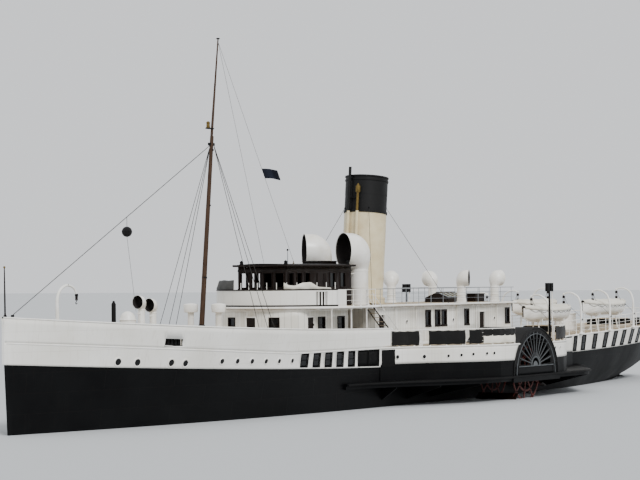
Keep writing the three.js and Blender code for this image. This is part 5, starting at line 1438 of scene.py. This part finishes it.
def makeWindlass():
    # A shaft with a warping drum at each end, two gears cut as square teeth, two frames, a barrel and a bed.
    look = {"x": 32.1, "axle": 0.6, "gear": 0.42, "tooth": 0.018, "teeth": 24, "gearsAt": 0.95,
            "framesAt": 0.65}
    base, axis = deckTop(look["x"]), (0, 1, 0)
    centre = np.array([look["x"], 0, base + look["axle"]])
    end = [
        (0.2, 0.9), (0.27, 0.96), (0.2, 1.0), (0.17, 1.12), (0.2, 1.25), (0.27, 1.33), (0.24, 1.36), (0, 1.36)
    ]
    otherEnd = [(radius, -height) for radius, height in reversed(end)]
    barrel = [
        (0, -0.5), (0.32, -0.5), (0.34, -0.46), (0.24, -0.4), (0.24, 0.4), (0.34, 0.46), (0.32, 0.5), (0, 0.5)
    ]
    angle = np.linspace(0, tau, 4 * look["teeth"], endpoint=False)[:, None]
    rim = look["gear"] + look["tooth"] * np.sign(np.sin(look["teeth"] * angle))
    gear = centre[[0, 2]] + rim * np.concatenate([np.cos(angle), np.sin(angle)], 1)
    frames = [(31.75, base), (32.45, base), (32.25, base + 0.78), (31.95, base + 0.78)]
    plates = []
    for outline, away in ((gear, look["gearsAt"]), (frames, look["framesAt"])):
        plates += [prism(outline, y - 0.05, y + 0.05, (0, 2, 1)) for y in (-away, away)]
    drums = [turned(otherEnd + end, centre, axis), turned(barrel, centre + (-0.45, 0, -0.22), axis)]
    bed = boxes([31.55, -1.15, base - 0.06], [32.65, 1.15, base + 0.14])
    makePiece("windlassGear", [(iron, *drums, *plates, bed)], replaces=["windlass"])


def makeForeCompanion():
    # A domed drum, with a bead round its door on the after side.
    look = {"x": 26.95, "door": (0.15, 1.45), "half": 0.6, "bead": 0.475}
    dome = [
        (0.5, 0), (0.5, 0.06), (0.46, 0.09), (0.46, 1.5), (0.49, 1.53), (0.49, 1.57), (0.45, 1.62),
        (0.4, 1.8), (0.3, 1.94), (0.15, 2.03), (0, 2.06),
    ]
    at = np.array([look["x"], 0, deckTop(27.4)])
    door = arc(at, look["bead"], math.pi - look["half"], math.pi + look["half"], 9)
    rows = xyz(door[:, 0], door[:, 1], at[2] + np.array(look["door"])[:, None])
    beads = [tubes(rows, 0.02, 6), rods(rows[0, [0, -1]], rows[1, [0, -1]], 0.02, 6)]
    parts = [(whitePaint, turned(dome, at, sides=36)), (greyPaint, *beads)]
    makePiece("foreCompanion", parts, replaces=["companion_fore"])


def makeBeddedAnchor():
    # Two arms, a shank and a stock, laid down on the deck and flattened to the depth of their bed.
    look = {"place": (34.0, -0.1), "lift": 0.15, "flat": 0.4}
    fluke = curve([(0.55, 0, 0.12), (0.62, 0, -0.1), (0.5, 0, -0.3), (0.25, 0, -0.38), (0, 0, -0.4)], 14)
    arms = [tubes(fluke * (hand, 1, 1), np.linspace(0.02, 0.06, 14)) for hand in (1, -1)]
    parts = [
        (
            iron, *arms, rods((0, 0, -0.4), (0, 0, 0.75), 0.05, 10),
            rods((0, -0.45, 0.6), (0, 0.45, 0.6), 0.035),
        )
    ]
    laid = np.array([[1, 0, 0], [0, 0, look["flat"]], [0, 1, 0]])
    makePiece("beddedAnchor", moved(parts, laid, onDeck(*look["place"], look["lift"])))


def makeAfterCompanion():
    look = {"x": -24.3, "y": 1.2, "half": 0.64, "aft": -25.2, "top": 5.4, "door": (1.0, 0.17, 5.28)}
    x, y, half, aft, top = look["x"], look["y"], look["half"], look["aft"], look["top"]
    wide, sill, head = look["door"]
    outline = np.concatenate(
        [[(aft, y - half)], arc((x, y), half, -math.pi / 2, math.pi / 2, 25), [(aft, y + half)]]
    )
    low = deckTop(x - 0.1) - 0.02
    skin, _ = pierced(outline, low, top, [((aft, y), wide, low + sill, head)])
    band = [(0.0, -0.05), (-0.05, -0.04), (-0.06, 0.03), (0, 0.05)]
    door = boxes([aft + 0.06, y - wide / 2, low + sill], [aft + 0.1, y + wide / 2, head])
    roof = prism(outline, top - 0.02, top + 0.05)
    parts = [(whitePaint, skin, roof, *mouldings(outline, (top,), band)), (darkTeak, door)]
    makePiece("afterCompanion", parts, replaces=["companion_aft"], wall=0.03)


def makeSkylight():
    # A ridged house with four glazed flaps on each slope, and brass bars over each pane.
    look = {"aft": -9.9, "fore": -7.4, "flap": 0.47, "step": 0.6, "inset": 0.86}
    ends = [(-0.95, 6.5), (0.95, 6.5), (0.95, 6.83), (0, 7.2), (-0.95, 6.83)]
    eave, ridge = np.array([0, 0.93, 6.83]), np.array([0, 0.06, 7.17])
    out = unit(np.cross(ridge - eave, [1.0, 0, 0]))
    share = np.array([0.25, 0.5, 0.75])[:, None]
    panes, bars = [], []
    for start in look["aft"] + 0.12 + look["step"] * np.arange(4):
        low, high = np.array([start, 0, 0]), np.array([start + look["flap"], 0, 0])
        corners = np.array([eave + low, eave + high, ridge + high, ridge + low])
        corners = corners.mean(0) + (corners - corners.mean(0)) * look["inset"]
        points, faces = surface(np.stack([corners + out * 0.015, corners + out * 0.03]), roundColumns=True)
        panes.append((points, [*faces, np.arange(8).reshape(2, 4)]))
        foot, head = (a + share * (b - a) + out * 0.06 for a, b in (corners[:2], corners[[3, 2]]))
        bars.append(rods(foot, head, 0.012, 6))
    capping = boxes([look["aft"] - 0.03, -0.05, 7.18], [look["fore"] + 0.03, 0.05, 7.24])
    house = (darkTeak, prism(ends, look["aft"], look["fore"], (2, 0, 1)), capping)
    parts = [house, *bothSides((paleGlass, *panes), (brass, *bars))]
    makePiece("engineSkylight", parts, replaces=["skylight"])


boat = {"length": 7.3, "half": 1.0, "depth": 0.8, "chock": 1.15, "strakes": 9}


def boatSection(t, v, grow=0.0):
    # Half a section of a double-ended boat at length t and height share v: keel, bilge, side and gunwale.
    beam = boat["half"] * np.maximum(0.03, 1 - np.abs(t) ** 2.6)
    rise = 1.8 * np.maximum(0, np.abs(t) - 0.7) ** 1.5
    top = boat["depth"] + 0.22 * t * t
    wide = np.sin(np.clip(v, 0, 1) * math.pi / 2) ** 0.72
    height = rise + (top - rise) * (0.12 * v + 0.88 * v**1.9)
    return xyz(t * boat["length"] / 2, np.maximum(0.035, beam * wide) + grow, height)


def boatCover(u, v):
    # From gunwale to gunwale over a ridge, laced down at the edges and sagging between the strongbacks.
    t, across = 1.94 * u - 0.97, 2 * v - 1
    gunwale = boatSection(t, 1.0, 0.07)
    peak = 0.36 * np.sqrt(np.maximum(0.02, 1 - t * t)) - 0.035 * np.sin(6 * math.pi * u) ** 2
    over = np.clip(1 - np.abs(across) / 0.88, 0, 1) ** 0.85
    skirt = np.clip((np.abs(across) - 0.88) / 0.12, 0, 1)
    tug = 0.5 + 0.5 * np.cos(28 * math.pi * u)
    out = np.sign(across) * gunwale[..., 1] * np.minimum(1, np.abs(across) / 0.88)
    return xyz(gunwale[..., 0], out, gunwale[..., 2] + 0.035 + peak * over - skirt * (0.11 + 0.04 * tug))


def makeLifeboat(node, x, y):
    # Lapped strakes, gunwales, keel, stem and sternpost, looped grab lines, and the two chocks under her.
    strakes, name = boat["strakes"], pieceName(node[len("lifeboat_"):])
    t = np.sin(np.linspace(-math.pi / 2, math.pi / 2, 49))
    v = np.repeat(np.linspace(0, 1, strakes + 1) ** 0.85, 2)[1:-1]
    planking = surface(boatSection(t[:, None], v, np.tile([0.016, 0.0], strakes)))
    gunwale = boatSection(t, 1.0)
    band = [(-0.05, -0.06), (0.045, -0.05), (0.05, 0.02), (-0.05, 0.03)]
    loops = np.linspace(-0.86, 0.86, 9)
    loops = boatSection(np.linspace(loops[:-1], loops[1:], 9, axis=1), 0.9, 0.03)
    loops[..., 2] -= 0.12 * np.sin(np.linspace(0, math.pi, 9))
    keel = boatSection(t, 0.0) * (1, 0, 1)
    keelBar = sweep(keel, [(-0.035, -0.07), (0.035, -0.07), (0.035, 0.03), (-0.035, 0.03)])
    low, high = keel[[0, -1]], gunwale[[0, -1]] * (1, 0, 1)
    posts = tubes(np.stack([low, (low + high) / 2, high + 0.08 * upright], 1), 0.045)
    at = np.array([x, y, deckTop(x) + boat["chock"]])
    chocks = []
    for along in (-1.7, 1.7):
        foot = deckTop(x + along) - at[2]
        cradle = np.linspace(-0.55, 0.55, 13)
        bed = np.column_stack([cradle, 0.03 + 0.2 * np.abs(cradle) ** 1.6])
        outline = np.concatenate([bed, [(0.55, -0.02), (0.3, -0.12), (-0.3, -0.12), (-0.55, -0.02)]])
        leg, pad = xyz(along, [-0.18, 0.18], -0.08), xyz(along, [-0.34, 0.34], foot)
        chocks += [
            prism(outline, along - 0.06, along + 0.06, (2, 0, 1)), rods(leg, pad + 0.02 * upright, 0.05)
        ]
        chocks.append(boxes(pad - (0.1, 0.12, 0), pad + (0.1, 0.12, 0.04)))
    parts = bothSides(
        (whitePaint, planking), (darkTeak, sweep(gunwale, band)), (wire, tubes(loops, 0.012, 6))
    )
    parts += [(whitePaint, keelBar, *chocks), (darkTeak, posts)]
    makePiece("lifeboat" + name, moved(parts, shift=at), replaces=[node], outward=False)
    shape = clothPatch(97, 33, boatCover)
    sheet = makePiece("boatCover" + name, moved([(canvas, shape)], shift=at), wall=0.01, outward=False)


def makeDavit(node, x, sign):
    # A tapered post that curves inboard over the boat, with a ball, a tackle and a guy cleat.
    look = {"out": 0.17, "thick": (0.085, 0.08, 0.05), "head": (0, -1.45, 2.98), "steps": 64}
    foot = -0.02 if x > guardLines["house"][-1] else -0.12  # lower where it stands outside the deck's edge
    path = [
        (0, 0, foot), (0, 0, 0.9), (0, 0, 1.7), (0, -0.03, 2.2), (0, -0.25, 2.75), (0, -0.75, 3.06),
        (0, -1.2, 3.08), (0, -1.45, 2.96),
    ]
    radius = np.interp(np.linspace(0, 1, look["steps"]), [0, 0.3, 1], look["thick"])
    head = np.array(look["head"])
    socket = turned([(0, 0), (0.2, 0), (0.2, 0.04), (0.12, 0.08), (0.1, 0.16), (0.085, 0.18)], sides=20)
    falls = head + xyz(0, [-0.06, 0, 0.06], -0.2)
    cleat = rods([(-0.02, 0.1, 1.0), (-0.12, 0.11, 1.08)], [(0.0, 0.11, 1.15), (0.12, 0.11, 1.08)], 0.02)
    hauling = curve([head + (0, 0.05, -0.18), (0, -1.1, 2.2), (0.02, -0.4, 1.6), (0, 0.08, 1.1)], 20)
    blocks = boxes(head + xyz(-0.05, -0.09, [-0.3, -0.7]), head + xyz(0.05, 0.09, [-0.12, -0.52]))
    parts = [
        (whitePaint, tubes(curve(path, look["steps"]), radius, 14), balls([head], 0.085, 12), socket),
        (darkTeak, blocks),
        (wire, rods(falls, falls - 0.4 * upright, 0.012, 6), tubes(hauling, 0.012, 6)),
        (iron, rods(head, head - 0.15 * upright, 0.025), cleat),
    ]
    at = (x, float(deckHalf(x)) + look["out"], deckTop(x))
    makePiece(
        pieceName(node), handed(moved(parts, shift=at), sign), body=node, replaces=[node]
    )


deckRail = {"height": 1.05, "bars": (0.27, 0.53, 0.79), "post": 0.024, "bar": 0.03, "wire": 0.011}
thinRail = {"height": 1.03, "bars": (0.35, 0.7), "post": 0.018, "bar": 0.02, "wire": 0.009}


def railing(plan, gap, material, look=deckRail):
    # Posts at even steps along a plan line, a round top bar and thinner bars below, all following the deck.
    run = np.concatenate([[0], np.cumsum(np.linalg.norm(np.diff(plan[:, :2], axis=0), axis=1))])
    at = np.linspace(0, run[-1], max(2, round(run[-1] / gap) + 1))
    posts = xyz(*(np.interp(at, run, plan[:, i]) for i in range(3)))
    top = look["height"] * upright
    bars = [tubes(plan + height * upright, look["wire"], 6) for height in look["bars"]]
    feet = repeated(turned([(0, 0), (0.07, 0), (0.07, 0.02), (0.035, 0.05), (0, 0.05)], sides=10), posts)
    knobs = balls(posts + top, look["bar"] * 1.4, 8)
    return (
        material, rods(posts, posts + top, look["post"]), tubes(plan + top, look["bar"]), *bars, feet, knobs
    )


def railEdge(x):
    # The rail stands 130 mm inside the edge of the sponson's house or, aft of it, of the deck.
    return np.where(x > guardLines["house"][-1], guardHalf("house", x), deckHalf(x)) - 0.13


def makeRails():
    x = np.linspace(6.6, -3.1, 60)
    fore = xyz(x, railEdge(x), deckTop(x))
    for name, sign in (("Port", 1), ("Stbd", -1)):
        rail = railing(fore * (1, sign, 1), 1.2, whitePaint)
        makePiece("foreRail" + name, [rail], replaces=["rail_fore_" + name.lower()])
    x = np.concatenate([np.linspace(-8.7, -38.9, 140), [-39.3, -39.58]])
    port = xyz(x, np.maximum(railEdge(x), 0.5), deckTop(x))
    plan = np.concatenate([port, [(-39.7, 0, deckTop(-39.7))], port[::-1] * (1, -1, 1)])
    makePiece("afterRail", [railing(plan, 1.25, whitePaint)], replaces=["rail_aft"])
    plan = xyz([7.3, -12.1, -12.1, 7.3], [3.62, 3.62, -3.62, -3.62], lines["boatDeck"])
    rail = railing(plan, 1.6, greyPaint, thinRail)
    makePiece("boatDeckRail", [rail], replaces=["rail_boat_deck"])
    wings = [
        railing(xyz([11.1, 7.65], sign * 4.5, lines["boatDeck"]), 0.85, whitePaint, thinRail)
        for sign in (1, -1)
    ]
    panel = boxes([11.1, 4.5, bridge["low"]], [12.1, 4.55, bridge["high"]])
    makePiece("bridgeWingRail", wings + bothSides((whiteSide, panel)))


def makeRailCloths():
    # Weather cloths laced outside the rails: their run along the ship, foot and head above the deck.
    # The dark cloths are near-black: partly dark canvas, partly painted shade of the open deck behind the
    # rails.
    strips = [
        ("A", 6.05, 4.12, 0.06, 1.0, darkCanvas), ("B", 3.49, 1.22, 0.06, 1.0, darkCanvas),
        ("C", 0.96, 0.12, 0.06, 1.0, darkCanvas), ("D", 0.0, -3.05, 0.05, 0.58, canvas),
        ("E", 0.0, -3.05, 0.64, 1.0, darkCanvas), ("F", -8.85, -14.0, 0.1, 1.0, darkCanvas),
    ]
    for tag, start, end, low, high, material in strips:
        for name, rail, sign in (("Port", "foreRailPort", 1), ("Starboard", "foreRailStbd", -1)):

            def cloth(u, v):
                # Along the rail by u, up it by v: drawn in between its lacings, bellied out by a half wave.
                x = start + (end - start) * u
                lacing = 0.03 * np.abs(np.sin(math.pi * (start - end) * u / 0.6))
                height = low + (high - low) * v - lacing * np.where(v > 0.5, 1, -1) * np.abs(2 * v - 1)
                bulge = 0.04 * np.sin(math.pi * v) * (1 + 0.4 * np.sin(5 * x))
                return xyz(x, sign * (railEdge(x) + 0.05 + bulge), deckTop(x) + height)

            shape = clothPatch(61, 9, cloth)
            piece = makePiece("railCloth" + tag + name, [(material, shape)], wall=0.01, outward=False)
            rail = "afterRail" if tag == "F" else rail


def makeDeckFurniture():
    # Lockers by the sponson rail, slatted seats on the after deck, a lamp standard abaft each paddle box.
    look = {"pole": (-13.05, 6.0, 3.8), "lockers": ((3.56, 4.0), (1.03, 1.16)), "seats": (-25.0, -35.8),
            "rows": (0.35, 1.0), "long": 2.4}
    pole = np.array(look["pole"])
    second = pole + (-0.42, 0, 0)
    foot = turned([(0.18, 0), (0.18, 0.05), (0.1, 0.12), (0.09, 0.3)], pole, sides=18)
    lamps = boxes(pole + [(-0.45, -0.1, 3.4), (0.1, -0.1, 3.4), (-0.2, -0.04, 3.65)],
                  pole + [(-0.1, 0.1, 4.0), (0.45, 0.1, 4.0), (0.2, 0.04, 3.75)])
    lockers = []
    for x in look["lockers"]:
        y = float(railEdge(np.array(x)).min()) - 0.06
        lockers.append(boxes([x[0], y - 0.3, 3.8], [x[1], y, 4.85]))
    slats, legs = [], []
    for start in look["seats"]:
        deck = deckTop(start + 1.2)
        for y in look["rows"]:
            slat = xyz(start, y - 0.28 + 0.14 * np.arange(4), deck + 0.43)
            slats.append(boxes(slat, slat + (look["long"], 0.1, 0.04)))
        leg = xyz(start + 0.15 + np.arange(3), 0.05, deck - 0.1)
        legs.append(boxes(leg, leg + (0.06, 1.4, 0.52)))
    parts = [
        (whitePaint, *lockers, tubes([second, second + 3.4 * upright], [0.05, 0.04], 12)),
        (
            iron, tubes([pole, pole + 2 * upright, pole + 4 * upright], [0.09, 0.08, 0.06], 14), foot, lamps,
            *legs,
        ),
        (teakDeck, *slats),
    ]
    makePiece("deckFurniture", bothSides(*parts))


def shellPatch(s, width, low, high, grow, columns=5, rows=7):
    # A patch of the ship's side moved out by grow: a window pane, or a bar of its frame.
    along = np.linspace(s - width / 2, s + width / 2, columns)[:, None]
    return surface(side(along, np.linspace(low, high, rows), grow))


def makeAfterWindows():
    # Tall windows that follow the side: a pane, two jambs, a head, a sill and a bar across the middle.
    places = [
        (-19.8, 0.45), (-21.2, 0.6), (-23.1, 0.6), (-25.0, 0.62), (-26.75, 0.62), (-28.45, 0.62),
        (-30.2, 0.6), (-31.9, 0.6),
    ]
    panes, bars = [], []
    for s, width in places:
        low, high = paintLine(s) + 0.1, deckTop(s) - 0.16
        middle, edge = (low + high) / 2, width / 2 + 0.03
        panes.append(shellPatch(s, width, low, high, 0.045))
        bars += [shellPatch(at, 0.06, low - 0.05, high + 0.05, 0.06, 2) for at in (s - edge, s + edge)]
        bars.append(shellPatch(s, width + 0.1, high, high + 0.05, 0.06, 5, 2))
        bars.append(shellPatch(s, width + 0.14, low - 0.05, low, 0.07, 5, 2))
        bars.append(shellPatch(s, width, middle - 0.02, middle + 0.02, 0.055, 5, 2))
    makePiece("afterWindows", bothSides((glass, *panes), (iron, *bars)), wall=0.03, outward=False)


for name, values in vents.items():
    makeCowl(name, *values)
makeHeadedVents()
makeMast()
makeFlag()
makeAnchorDavit()
makeWindlass()
makeForeCompanion()
makeBeddedAnchor()
makeAfterCompanion()
makeSkylight()
hands = (("port", 1), ("stbd", -1))
for pair, x, y in (("fore", -17.9, 3.2), ("aft", -27.6, 3.05)):
    for hand, sign in hands:
        makeLifeboat("lifeboat_" + pair + "_" + hand, x, sign * y)
for pair, x in (("fore_a", -15.35), ("fore_b", -20.45), ("aft_a", -25.3), ("aft_b", -29.9)):
    for hand, sign in hands:
        makeDavit("davit_" + pair + "_" + hand, x, sign)
makeRails()
makeRailCloths()
makeDeckFurniture()
makeAfterWindows()
print("gear, boats and rails")
